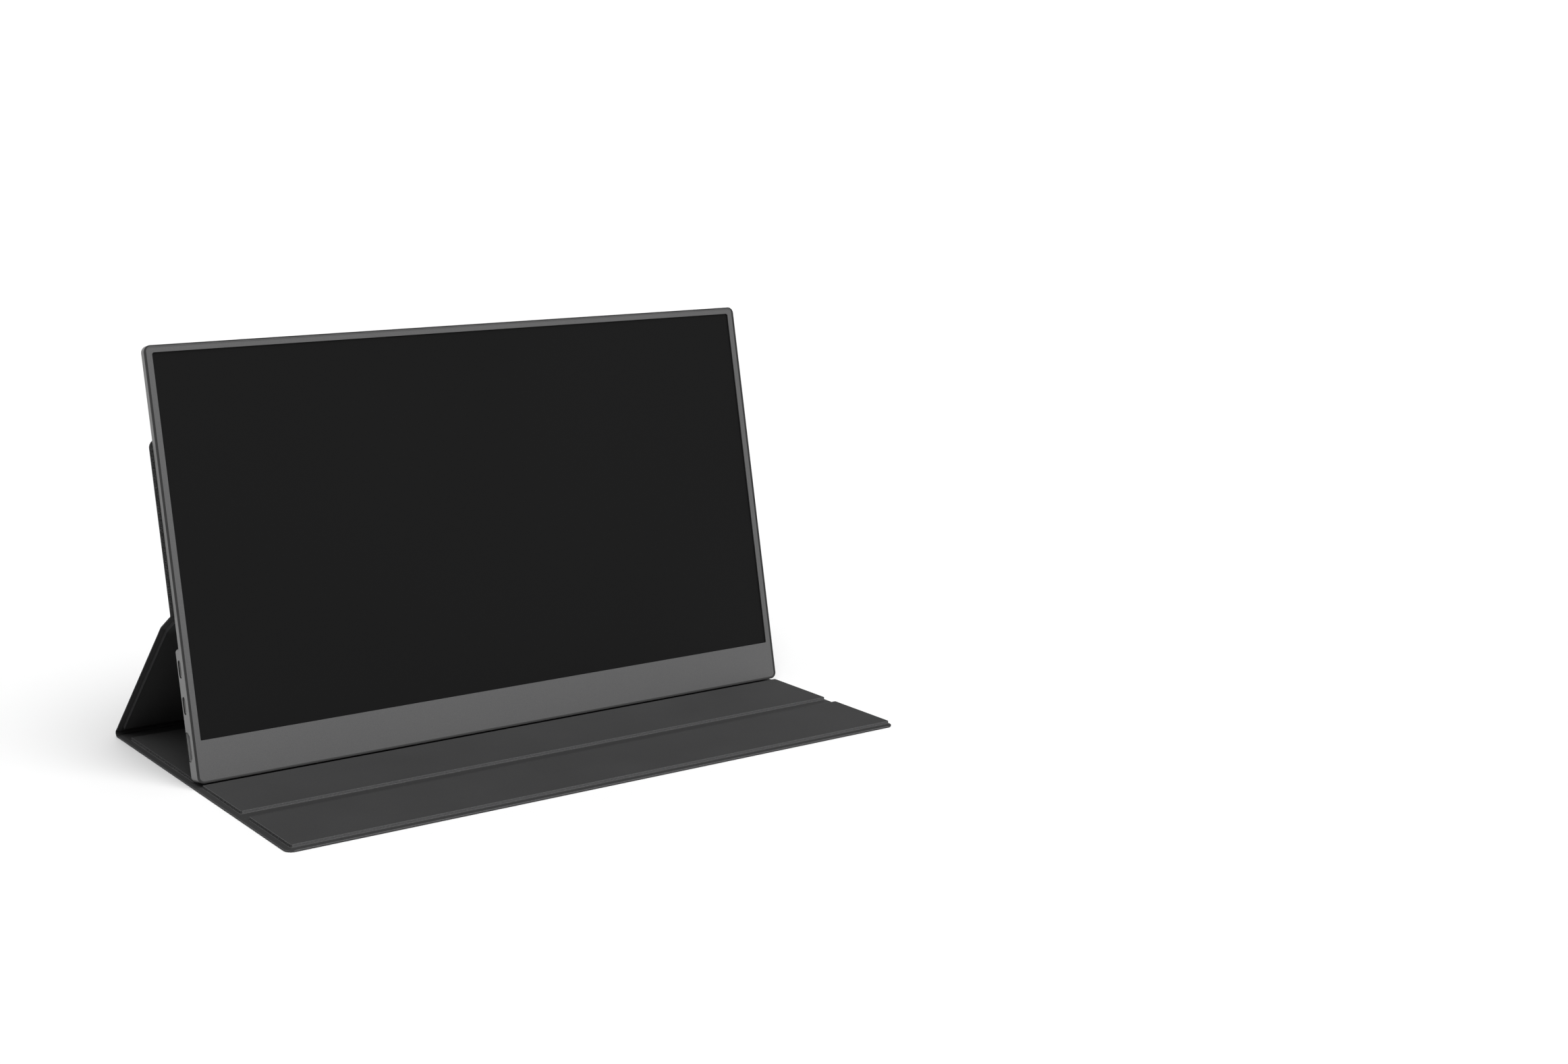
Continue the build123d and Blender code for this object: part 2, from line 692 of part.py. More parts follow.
with BuildPart() as main_board:
    slab(screen, main_x, main_y, (-board_back, -board_front))
    slab(screen, (main_x[0], -socket_end + hdmi_deep + port_gap),
         (hdmi_up - hdmi_wide / 2 - port_gap, hdmi_up + hdmi_wide / 2 + port_gap),
         (-board_back, -board_front), mode=Mode.SUBTRACT)
    for spot in main_screws:
        rod(screen, spot[0], spot[1], (-board_back, -board_front), screw_radius + hole_clear,
            mode=Mode.SUBTRACT)
    # coils and power parts beside the shielded chip
    with BuildSketch(screen.offset(-board_front)) as power_parts:
        with Locations((can_x - can_wide / 2 - power_gap - power_columns[1] / 2, can_y)):
            with GridLocations(power_columns[1], power_rows[1], power_columns[0], power_rows[0]):
                Rectangle(power_columns[2], power_rows[2])
        with Locations((main_x[1] - filter_inset, main_y[0] + filter_inset)):
            with GridLocations(filter_columns[1], filter_rows[1], filter_columns[0],
                               filter_rows[0]):
                Rectangle(filter_columns[2], filter_rows[2])
    extrude(power_parts.sketch, amount=power_tall)
    slab(screen, (can_x - cable_half - plug_rim, can_x + cable_half + plug_rim),
         (cable_end, cable_end + plug_high), (-board_front, -board_front + plug_tall))
finish(main_board.part, "main_board")

with BuildPart() as controller_chip:
    slab(screen, (can_x - chip_side / 2, can_x + chip_side / 2),
         (can_y - chip_side / 2, can_y + chip_side / 2), (-board_front, -board_front + chip_high))
finish(controller_chip.part, "controller_chip")

with BuildPart() as shield_can:
    slab(screen, (can_x - can_wide / 2, can_x + can_wide / 2),
         (can_y - can_high / 2, can_y + can_high / 2), (-board_front, -board_front + can_tall),
         corner=1.0)
    slab(screen, (can_x - can_wide / 2 + can_wall, can_x + can_wide / 2 - can_wall),
         (can_y - can_high / 2 + can_wall, can_y + can_high / 2 - can_wall),
         (-board_front, -board_front + can_tall - can_wall), mode=Mode.SUBTRACT,
         corner=1.0 - can_wall)
finish(shield_can.part, "shield_can")

# Display cable: from the driver board back and down to the main board
cable_thick = 0.2
cable_points = [(driver_low + 4.5, -cell_back - cable_thick / 2),
                (driver_high - 1.5, -cell_back - cable_thick / 2),
                (driver_high - 0.6, -tray_rear - 1.0),
                (cable_end - 6, -board_front + cable_thick / 2),
                (cable_end, -board_front + cable_thick / 2)]
with BuildPart() as display_cable:
    with BuildSketch(side_of(screen).offset(can_x)) as cable_line:
        with BuildLine():
            Polyline(*cable_points)
        trace(line_width=cable_thick)
    extrude(cable_line.sketch, amount=cable_half, both=True)
finish(display_cable.part, "display_cable")


def ribbon_points(start, end):
    """A ribbon's way from one board down to the back wall, along it and up to another board."""
    on_board = board_front - ribbon_thick / 2
    on_wall = bump_depth - wall - ribbon_thick / 2
    return [(start - 4, -on_board), (start + 0.5, -on_board), (start + 2, -on_wall),
            (end - 2, -on_wall), (end - 0.5, -on_board), (end + 4, -on_board)]


def across(up):
    """Plane across the screen at a height: x to the right, y out of the screen."""
    return Plane(origin=screen.from_local_coords((0, up, 0)), x_dir=screen.x_dir,
                 z_dir=-screen.y_dir)


key_cable_up = 46.0
key_cable_wide = 6.0
with BuildPart() as key_cable:
    with BuildSketch(across(key_cable_up)) as key_line:
        with BuildLine():
            Polyline(*ribbon_points(main_x[1], key_x[0]))
        trace(line_width=ribbon_thick)
    extrude(key_line.sketch, amount=key_cable_wide / 2, both=True)
finish(key_cable.part, "key_cable")

# Flat leads to the speakers: one beside the left speaker, one above both to the right one
lead_wide = 2.0
speaker_top = speaker_up + speaker_high / 2
left_start = -speaker_side - speaker_wide / 2
right_spot = speaker_side - speaker_wide / 4
with BuildPart() as speaker_leads:
    with BuildSketch(across(speaker_up)) as left_line:
        with BuildLine():
            Polyline(*ribbon_points(main_x[1], left_start + 2)[:3],
                     (left_start, ribbon_points(main_x[1], left_start)[2][1]))
        trace(line_width=ribbon_thick)
    extrude(left_line.sketch, amount=lead_wide / 2, both=True)
    with BuildSketch(across(speaker_top + 1 + lead_wide / 2)) as right_line:
        with BuildLine():
            Polyline(*ribbon_points(main_x[1], right_spot)[:3],
                     (right_spot, ribbon_points(main_x[1], right_spot)[2][1]))
        trace(line_width=ribbon_thick)
    extrude(right_line.sketch, amount=lead_wide / 2, both=True)
    slab(screen, (right_spot - lead_wide, right_spot), (speaker_top, speaker_top + 1.5),
         (-bump_depth + wall, -bump_depth + wall + ribbon_thick))
finish(speaker_leads.part, "speaker_leads")

# Speakers, facing the slots in the back wall
speaker_spots = (("speaker_left", -speaker_side), ("speaker_right", speaker_side))
speaker_rear = bump_depth - wall
cone_wide = speaker_wide - 2 * cone_margin[0]
cone_high = speaker_high - 2 * cone_margin[1]
for name, side in speaker_spots:
    with BuildPart() as speaker:
        slab(screen, (side - speaker_wide / 2, side + speaker_wide / 2),
             (speaker_up - speaker_high / 2, speaker_top),
             (-speaker_rear, -speaker_rear + speaker_deep), corner=speaker_corner)
        with BuildSketch(screen.offset(-speaker_rear)) as cone:
            with Locations((side, speaker_up)):
                SlotOverall(cone_wide, cone_high)
                SlotOverall(cone_wide - 2 * cone_band, cone_high - 2 * cone_band,
                            mode=Mode.SUBTRACT)
        extrude(cone.sketch, amount=cone_sink, mode=Mode.SUBTRACT)
    finish(speaker.part, name)

# Two USB type C sockets on the left side, with their tongues
for name, up in (("usb_c_port_upper", usb_upper_up), ("usb_c_port_lower", usb_lower_up)):
    mouth = side_plane(-1, up, port_depth).offset(-usb_sink)
    with BuildPart() as socket:
        with BuildSketch(mouth) as shell:
            SlotOverall(usb_wide, usb_high)
        extrude(shell.sketch, amount=-usb_deep)
        with BuildSketch(mouth) as hollow:
            SlotOverall(usb_wide - 2 * usb_wall, usb_high - 2 * usb_wall)
            Rectangle(*usb_tongue, mode=Mode.SUBTRACT)
        extrude(hollow.sketch, amount=-usb_deep + usb_end_wall, mode=Mode.SUBTRACT)
        with BuildSketch(mouth) as mouth_room:
            Rectangle(*usb_tongue)
        extrude(mouth_room.sketch, amount=-usb_tongue_sink, mode=Mode.SUBTRACT)
    finish(socket.part, name)

# HDMI socket, let into its board and showing in a window of the back wall
hdmi_plane = side_plane(-1, hdmi_up, hdmi_depth)


def hdmi_outline(grow):
    """Corners of the socket's shape, narrow towards the screen, grown all round."""
    half, narrow, high = hdmi_wide / 2 + grow, hdmi_narrow / 2 + grow / 2, hdmi_high / 2 + grow
    return [(-half, high), (half, high), (half, hdmi_chamfer - high), (narrow, -high),
            (-narrow, -high), (-half, hdmi_chamfer - high)]


def socket_ears(up, half, start):
    """Add the two ears of a socket, which lie on its board above and below the socket."""
    for y in ((up - half - ear_wide, up - half), (up + half, up + half + ear_wide)):
        slab(screen, (start, start + ear_long), y, (-board_front, -board_front + ear_thick))


with BuildPart() as hdmi_port:
    with BuildSketch(hdmi_plane.offset(-usb_sink)) as hdmi_shell:
        Polygon(*hdmi_outline(0), align=None)
    extrude(hdmi_shell.sketch, amount=-hdmi_deep)
    with BuildSketch(hdmi_plane.offset(-usb_sink)) as hdmi_hollow:
        Polygon(*hdmi_outline(-hdmi_wall), align=None)
        Rectangle(*hdmi_tongue, mode=Mode.SUBTRACT)
    extrude(hdmi_hollow.sketch, amount=-hdmi_deep + hdmi_end_wall, mode=Mode.SUBTRACT)
    with BuildSketch(hdmi_plane.offset(-usb_sink)) as hdmi_room:
        Rectangle(*hdmi_tongue)
    extrude(hdmi_room.sketch, amount=-hdmi_tongue_sink, mode=Mode.SUBTRACT)
    socket_ears(hdmi_up, hdmi_wide / 2, -socket_end + ear_long)
finish(hdmi_port.part, "hdmi_port")

# Right side, which the picture doesn't show: headphone socket, menu rocker and power button
jack_plane = side_plane(1, jack_up, port_depth)
with BuildPart() as audio_jack:
    with BuildSketch(jack_plane.offset(-side_wall - jack_sink)) as jack_body:
        Rectangle(jack_wide, jack_high)
    extrude(jack_body.sketch, amount=-jack_deep)
    with BuildSketch(jack_plane.offset(-side_wall - jack_sink)) as jack_collar:
        Circle(jack_nose)
    extrude(jack_collar.sketch, amount=side_wall)
    with BuildSketch(jack_plane.offset(-jack_sink)) as jack_hole:
        Circle(jack_bore)
    extrude(jack_hole.sketch, amount=-jack_deep, mode=Mode.SUBTRACT)
    socket_ears(jack_up, jack_wide / 2, inner_side - 2 * ear_long)
finish(audio_jack.part, "audio_jack")

with BuildPart() as key_board:
    slab(screen, key_x, key_y, (-board_back, -board_front))
    slab(screen, (inner_side - jack_deep - jack_sink - port_gap, key_x[1]),
         (jack_up - jack_wide / 2 - port_gap, jack_up + jack_wide / 2 + port_gap),
         (-board_back, -board_front), mode=Mode.SUBTRACT)
    for spot in key_screws:
        rod(screen, spot[0], spot[1], (-board_back, -board_front), screw_radius + hole_clear,
            mode=Mode.SUBTRACT)
finish(key_board.part, "key_board")

# Power button: a flange behind the wall keeps it in its slot, and its stem works the switch
button_plane = side_plane(1, button_up, port_depth)
flange_thick = 0.5
flange_lap = 1.1
flange_gap = 0.1
flange_face = -side_wall - flange_gap
stem = (2.0, 1.6, 0.7)
cap_round = 0.25
with BuildPart() as power_button:
    with BuildSketch(button_plane.offset(button_proud)) as button_cap:
        SlotOverall(button_long, button_wide)
    extrude(button_cap.sketch, amount=flange_face - button_proud)
    fillet(power_button.faces().sort_by(Axis.X)[-1].edges(), cap_round)
    with BuildSketch(button_plane.offset(flange_face)) as button_flange:
        SlotOverall(button_long + 2 * flange_lap, button_wide + flange_lap)
    extrude(button_flange.sketch, amount=-flange_thick)
    with BuildSketch(button_plane.offset(flange_face - flange_thick)) as button_stem:
        Rectangle(stem[0], stem[1])
    extrude(button_stem.sketch, amount=-stem[2])
finish(power_button.part, "power_button")

# Side switches on the key board: a body and a plunger towards the control
switch_body = (4.6, 2.6)  # along the wall and away from it
plunger_side = 1.2
plunger_long = 0.9
switch_above = 0.9  # from the plunger's middle to the top of its switch
switch_high = board_front - port_depth + switch_above


def side_switch(up, tip):
    """Add one switch that stands on the key board, its plunger's tip at a distance from the wall."""
    front = tip + plunger_long
    slab(screen, (half_wide - front - switch_body[1], half_wide - front),
         (up - switch_body[0] / 2, up + switch_body[0] / 2),
         (-board_front, -board_front + switch_high))
    slab(screen, (half_wide - front, half_wide - tip),
         (up - plunger_side / 2, up + plunger_side / 2),
         (-port_depth - plunger_side / 2, -port_depth + plunger_side / 2))


stem_tip = -flange_face + flange_thick + stem[2]
with BuildPart() as power_switch:
    side_switch(button_up, stem_tip + button_travel + switch_gap)
finish(power_switch.part, "power_switch")

# Menu rocker: it turns on a pin across its middle and presses a switch at each end
rocker_turn = 3.0
rocker_back = rocker_pin_depth - 0.7
nub_reach = 5.0
nub = (1.4, 1.2, 0.6)
hub_radius = 1.1
rocker_plane = side_plane(1, rocker_up, port_depth)
pin_plane = Plane(origin=rocker_plane.offset(-rocker_pin_depth).origin, x_dir=screen.x_dir,
                  z_dir=screen.z_dir)
with BuildPart() as menu_rocker:
    with BuildSketch(rocker_plane.offset(rocker_proud)) as rocker_cap:
        SlotOverall(rocker_long, button_wide)
    extrude(rocker_cap.sketch, amount=-rocker_back - rocker_proud)
    fillet(menu_rocker.faces().sort_by(Axis.X)[-1].edges(), cap_round)
    with BuildSketch(rocker_plane.offset(-rocker_back)) as rocker_nubs:
        with GridLocations(2 * nub_reach, 1, 2, 1):
            Rectangle(nub[0], nub[1])
    extrude(rocker_nubs.sketch, amount=-nub[2])
    rod(pin_plane, 0, 0, (-button_wide / 2, button_wide / 2), hub_radius)
    rod(pin_plane, 0, 0, (-button_wide, button_wide), rocker_pin_radius + pin_clear,
        mode=Mode.SUBTRACT)
finish(menu_rocker.part, "menu_rocker")

with BuildPart() as menu_switches:
    nub_tip = rocker_back + nub[2]
    for sign in (-1, 1):
        side_switch(rocker_up + sign * nub_reach,
                    nub_tip + nub_reach * sin(radians(rocker_turn)) + switch_gap)
finish(menu_switches.part, "menu_switches")

# Bracket on the key board with two lugs for the pin
lug_gap = 0.1  # between the rocker and the bracket's lugs
lug_half = 1.5
lug_reach = 1.3
lug_thick = 0.5
hub_gap = 0.4
web_back = 2.2
pin_low = board_front
pin_high = port_depth - button_wide / 2 - lug_gap - lug_thick
pin_x = half_wide - rocker_pin_depth
lug_x = (pin_x - web_back, pin_x + lug_reach)
lug_y = (rocker_up - lug_half, rocker_up + lug_half)
with BuildPart() as rocker_bracket:
    slab(screen, lug_x, lug_y, (-pin_low, -port_depth - button_wide / 2 - lug_gap))
    slab(screen, lug_x, lug_y, (-port_depth + button_wide / 2 + lug_gap, -pin_high))
    slab(screen, (lug_x[0], pin_x - hub_radius - hub_gap), lug_y, (-pin_low, -pin_high))
    rod(pin_plane, 0, 0, (-button_wide, button_wide), rocker_pin_radius, mode=Mode.SUBTRACT)
finish(rocker_bracket.part, "rocker_bracket")

with BuildPart() as rocker_pin:
    rod(pin_plane, 0, 0, (port_depth - pin_low, port_depth - pin_high), rocker_pin_radius)
finish(rocker_pin.part, "rocker_pin")

# Screws: six small ones in the boards, four countersunk ones through the back into the posts
with BuildPart() as board_screws:
    for spot in board_screw_spots:
        rod(screen, spot[0], spot[1], (-board_screw_end, -board_front), screw_radius)
        rod(screen, spot[0], spot[1], (-board_front, -board_front + screw_head_thick),
            screw_head_radius)
finish(board_screws.part, "board_screws")

housing_screw_tip = post_end - pilot_depth + 0.5
with BuildPart() as housing_screws:
    for side in post_sides:
        rod(screen, side, post_up, (-bump_depth, -bump_depth + screw_head_thick),
            screw_head_radius)
        rod(screen, side, post_up, (-bump_depth + screw_head_thick, -housing_screw_tip),
            screw_radius)
finish(housing_screws.part, "housing_screws")

# Rear housing: a shallow tray whose lower third is deeper, open to the front
inner_x = (-inner_side, inner_side)
inner_y = (side_wall, housing_height - side_wall)
rim_x = (-half_wide + rim_wall, half_wide - rim_wall)
rim_y = (rim_wall, housing_height - rim_wall)
back_axis = Axis(screen.origin, -screen.z_dir)

with BuildPart() as rear_housing:
    slab(screen, (-half_wide, half_wide), (0, housing_height), (-thin_depth, rim_proud),
         corner=housing_corner)
    fillet(rear_housing.faces().sort_by(back_axis)[-1].edges(), thin_edge_round)
    with BuildSketch(screen.offset(-thin_depth / 2)) as bump_shape:
        with Locations((0, bump_height / 2)):
            Rectangle(housing_width, bump_height)
        fillet(bump_shape.vertices().sort_by(Axis.Y)[:2], housing_corner)
    extrude(bump_shape.sketch, amount=thin_depth / 2 - bump_depth)
    up_axis = Axis(screen.origin, screen.y_dir)
    bump_rim = rear_housing.faces().sort_by(back_axis)[-1].edges()
    fillet(bump_rim.sort_by(up_axis)[:-1], bump_edge_round)
    bump_rim = rear_housing.faces().sort_by(back_axis)[-1].edges()
    fillet(bump_rim.sort_by(up_axis)[-1], bump_top_round)
    # the hollow: a seat for the bezel, the thin room, and the deeper room at the bottom
    slab(screen, rim_x, rim_y, (-bezel_thick, rim_proud), mode=Mode.SUBTRACT,
         corner=housing_corner - rim_wall)
    slab(screen, inner_x, inner_y, (-thin_depth + wall, 0), mode=Mode.SUBTRACT)
    slab(screen, inner_x, (side_wall, room_top), (-bump_depth + wall, 0), mode=Mode.SUBTRACT)
    # seats for the boards and round seats for the screws
    for spot in board_screw_spots:
        rod(screen, spot[0], spot[1], (-bump_depth + wall, -board_back), seat_radius)
        rod(screen, spot[0], spot[1], (-board_screw_end, 0), screw_radius + hole_clear,
            mode=Mode.SUBTRACT)
    for side in post_sides:
        rod(screen, side, post_up, (-bump_depth + wall, -post_end), post_radius)
        rod(screen, side, post_up, (-bump_depth, -post_end), screw_radius + hole_clear,
            mode=Mode.SUBTRACT)
        rod(screen, side, post_up, (-bump_depth, -bump_depth + screw_head_thick),
            screw_head_radius + hole_clear, mode=Mode.SUBTRACT)
    # sockets on the left side
    for up in (usb_upper_up, usb_lower_up):
        with BuildSketch(side_plane(-1, up, port_depth)) as usb_slot:
            SlotOverall(usb_wide + 2 * port_clear, usb_high + 2 * port_clear)
        extrude(usb_slot.sketch, amount=-side_wall, mode=Mode.SUBTRACT)
    with BuildSketch(hdmi_plane) as hdmi_window:
        Polygon(*hdmi_outline(port_clear), align=None)
        with Locations((0, hdmi_high / 2)):
            Rectangle(hdmi_wide + 2 * port_clear, hdmi_high)
    extrude(hdmi_window.sketch, amount=-usb_sink - hdmi_deep - port_clear, mode=Mode.SUBTRACT)
    # controls and headphone socket on the right side
    with BuildSketch(button_plane) as button_slot:
        SlotOverall(button_long + 2 * button_clear, button_wide + 2 * button_clear)
    extrude(button_slot.sketch, amount=-side_wall, mode=Mode.SUBTRACT)
    with BuildSketch(rocker_plane) as rocker_slot:
        SlotOverall(rocker_long + 2 * rocker_clear, button_wide + 2 * button_clear)
    extrude(rocker_slot.sketch, amount=-side_wall, mode=Mode.SUBTRACT)
    with BuildSketch(jack_plane) as jack_slot:
        Circle(jack_nose + port_clear)
    extrude(jack_slot.sketch, amount=-side_wall, mode=Mode.SUBTRACT)
    # slots in the back wall behind each speaker
    with BuildSketch(screen.offset(-bump_depth)) as sound_slots:
        for name, side in speaker_spots:
            with Locations((side, speaker_up)):
                with GridLocations(slot_pitch, 1, slot_count, 1):
                    SlotOverall(slot_long, slot_wide, rotation=90)
    extrude(sound_slots.sketch, amount=wall, mode=Mode.SUBTRACT)
finish(rear_housing.part, "rear_housing")

print("brace", round(brace_long, 2), "mm at", round(degrees(brace_slope), 2), "degrees")
print("bend", [round(v, 2) for v in bend_fold], "holder fold", [round(v, 2) for v in holder_fold])
print("holder turns", holder_tilt, "of", round(holder_corner, 2), "degrees")
print("floor", round(floor_long, 2), "foot", round(foot_high, 2), "middle fold", middle_axis)
print("flap fold", flap_axis, "rear fold", rear_axis, "port depth", port_depth)
print("pin", round(pin_x, 2), "thin", thin_depth, "deep", bump_depth)
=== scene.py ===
"""Looks of a portable monitor that leans in the stand made by its own folding cover.

The cover is three floor sheets, a brace, a short bridge and a holder on the monitor's back. Each sheet is a
leatherette ribbon, its folds are creased ribbons, and each pad is a microfibre
panel in a cross-hatched wrap. The monitor keeps its housing, bezel and sockets, and gets its glass here.
"""

import json
import logging
from dataclasses import dataclass, field
from enum import Enum
from functools import cache
from math import cos, pi, radians, sin

import bmesh
import bpy
import numpy as np
from mathutils import Matrix, Vector

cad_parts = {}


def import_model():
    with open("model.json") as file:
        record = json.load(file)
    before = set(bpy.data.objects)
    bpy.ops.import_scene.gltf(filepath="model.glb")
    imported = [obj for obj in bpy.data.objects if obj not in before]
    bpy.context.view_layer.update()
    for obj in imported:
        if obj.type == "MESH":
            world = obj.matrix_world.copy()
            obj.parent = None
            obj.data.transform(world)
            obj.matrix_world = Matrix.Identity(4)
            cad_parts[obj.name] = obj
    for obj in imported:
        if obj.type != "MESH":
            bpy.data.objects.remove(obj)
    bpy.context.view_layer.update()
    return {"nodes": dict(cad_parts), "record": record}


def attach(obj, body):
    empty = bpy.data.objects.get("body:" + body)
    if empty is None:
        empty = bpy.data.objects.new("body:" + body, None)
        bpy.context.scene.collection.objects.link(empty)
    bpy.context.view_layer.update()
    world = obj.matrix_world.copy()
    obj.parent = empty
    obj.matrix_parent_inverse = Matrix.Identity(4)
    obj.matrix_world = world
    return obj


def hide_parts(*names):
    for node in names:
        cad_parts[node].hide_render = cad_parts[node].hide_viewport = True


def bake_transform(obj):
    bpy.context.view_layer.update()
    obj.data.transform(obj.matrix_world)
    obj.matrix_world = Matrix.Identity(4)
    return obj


LOG = logging.getLogger("scene")
MM = 0.001
LEAN = radians(11.884)
SMOOTH_BELOW = radians(38)
Pair = tuple[float, float]
Triple = tuple[float, float, float]
Socket = bpy.types.NodeSocket


def grey(value: float) -> Triple:
    """A neutral colour of one value."""
    return (value, value, value)


def lightened(colour: Triple, by: float) -> Triple:
    """A colour with each part multiplied by one number."""
    return tuple(by * value for value in colour)


def smooth(share: np.ndarray) -> np.ndarray:
    """An even start and stop between 0 and 1: three times the square less twice the cube."""
    return share ** 2 * (3 - 2 * share)


def unit(y: float, z: float) -> np.ndarray:
    """Unit vector of a direction in the side view."""
    return np.array([y, z], float) / np.linalg.norm([y, z])


def travelled(points: np.ndarray) -> np.ndarray:
    """Length along a row of points, starting at 0: the running sum of the steps' lengths."""
    return np.concatenate([[0.0], np.cumsum(np.linalg.norm(np.diff(points, axis=0), axis=1))])


class Slot(Enum):
    """Material slots of the record, one for each finish."""

    LEATHERETTE = "leatherette"
    STIFFENER = "stiffener"
    MICROFIBRE = "microfibre"
    MAGNET = "magnet"
    HOUSING = "housing_metal"
    BEZEL = "bezel_plastic"
    GLASS = "screen_glass"
    ADHESIVE = "adhesive"
    FILM = "diffuser_film"
    ACRYLIC = "clear_acrylic"
    TRAY = "tray_steel"
    BOARD = "circuit_board"
    FLEX = "flex_circuit"
    FOAM = "foam"
    MOULDED = "moulded_black"
    SOCKET = "connector_steel"
    KEY = "key_plastic"
    SCREW = "screw_steel"


class Graph:
    """A node tree, with short calls for the nodes that the finishes use."""

    def __init__(self, owner: bpy.types.ID, shader: str = "Principled BSDF") -> None:
        """Start with only the shader.

        Args:
            owner: A new material or world.
            shader: The shader's name in it.
        """
        owner.use_nodes = True
        self.tree = owner.node_tree
        self.shader = self.tree.nodes[shader]

    def feed(self, node: bpy.types.Node, inputs: dict[str | int, object]) -> bpy.types.Node:
        """Set a node's inputs: a socket is linked, a colour gets its alpha, anything else is kept.

        Args:
            node: The node.
            inputs: Values by the input's name or number.

        Returns:
            The same node.
        """
        for place, value in inputs.items():
            target = node.inputs[place]
            if isinstance(value, Socket):
                self.tree.links.new(value, target)
            else:
                target.default_value = (*value, 1.0) if target.type == "RGBA" else value
        return node

    def add(self, kind: str, inputs: dict[str | int, object], **settings: object) -> bpy.types.Node:
        """Add a node.

        Args:
            kind: The node's type name.
            inputs: Values by the input's name or number.
            **settings: Properties of the node.

        Returns:
            The new node.
        """
        node = self.tree.nodes.new(kind)
        for name, value in settings.items():
            setattr(node, name, value)
        return self.feed(node, inputs)

    def set(self, **inputs: object) -> None:
        """Set inputs of the shader by name, with an underscore for each space."""
        self.feed(self.shader, {name.replace("_", " "): value for name, value in inputs.items()})

    def coordinates(self, kind: str) -> Socket:
        """Object coordinates or the UV map, both in metres, or the direction of view."""
        return self.add("ShaderNodeTexCoord", {}).outputs[kind]

    def attribute(self, label: str) -> Socket:
        """A number that the mesh keeps for each point."""
        return self.add("ShaderNodeAttribute", {}, attribute_name=label).outputs["Fac"]

    def math(self, operation: str, *values: Socket | float, clamp: bool = False) -> Socket:
        """Work out a number; clamp keeps it from 0 to 1."""
        return self.add("ShaderNodeMath", dict(enumerate(values)), operation=operation,
                        use_clamp=clamp).outputs[0]

    def mapped(self, where: Socket, scale: Triple, turn: float = 0.0) -> Socket:
        """Coordinates scaled along each axis and turned about the third."""
        return self.add("ShaderNodeMapping", {"Vector": where, "Scale": scale,
                                              "Rotation": (0.0, 0.0, turn)}).outputs["Vector"]

    def noise(self, where: Socket, size: float, detail: float = 2.0) -> Socket:
        """Noise whose grains are about size metres across, of detail octaves."""
        return self.add("ShaderNodeTexNoise", {"Vector": where, "Scale": 1.0 / size,
                                               "Detail": detail}).outputs["Fac"]

    def mix(self, factor: Socket, first: Socket, second: Triple) -> Socket:
        """Blend a colour socket with a fixed colour."""
        return self.add("ShaderNodeMix", {"Factor": factor, "A": first, "B": second},
                        data_type="RGBA").outputs["Result"]

    def ramp(self, factor: Socket, low: Triple, high: Triple, span: Pair = (0.0, 1.0)) -> Socket:
        """Colour that runs from low to high over a span of the factor.

        Args:
            factor: The driving socket.
            low: Colour at the span's start.
            high: Colour at its end.
            span: Start and end, from 0 to 1.

        Returns:
            The colour socket.
        """
        node = self.add("ShaderNodeValToRGB", {"Fac": factor})
        for element, place, colour in zip(node.color_ramp.elements, span, (low, high)):
            element.position = place
            element.color = (*colour, 1.0)
        return node.outputs["Color"]

    def bump(self, height: Socket, depth: float, strength: float, under: Socket | None = None) -> Socket:
        """Lay a bump on the shader.

        Args:
            height: The driving socket.
            depth: Its full depth in metres.
            strength: How much of it shows.
            under: Another bump that it lies on.

        Returns:
            The normal socket.
        """
        inputs = {"Height": height, "Distance": depth, "Strength": strength}
        if under is not None:
            inputs["Normal"] = under
        normal = self.add("ShaderNodeBump", inputs).outputs["Normal"]
        self.set(Normal=normal)
        return normal


class Finish:
    """What a part of the object looks like: each kind draws its own nodes."""

    def draw(self, graph: Graph) -> None:
        """Draw the finish on a new material's graph."""
        raise NotImplementedError

    def build(self, name: str) -> bpy.types.Material:
        """The finished material, under a name."""
        material = bpy.data.materials.new(name)
        self.draw(Graph(material))
        return material


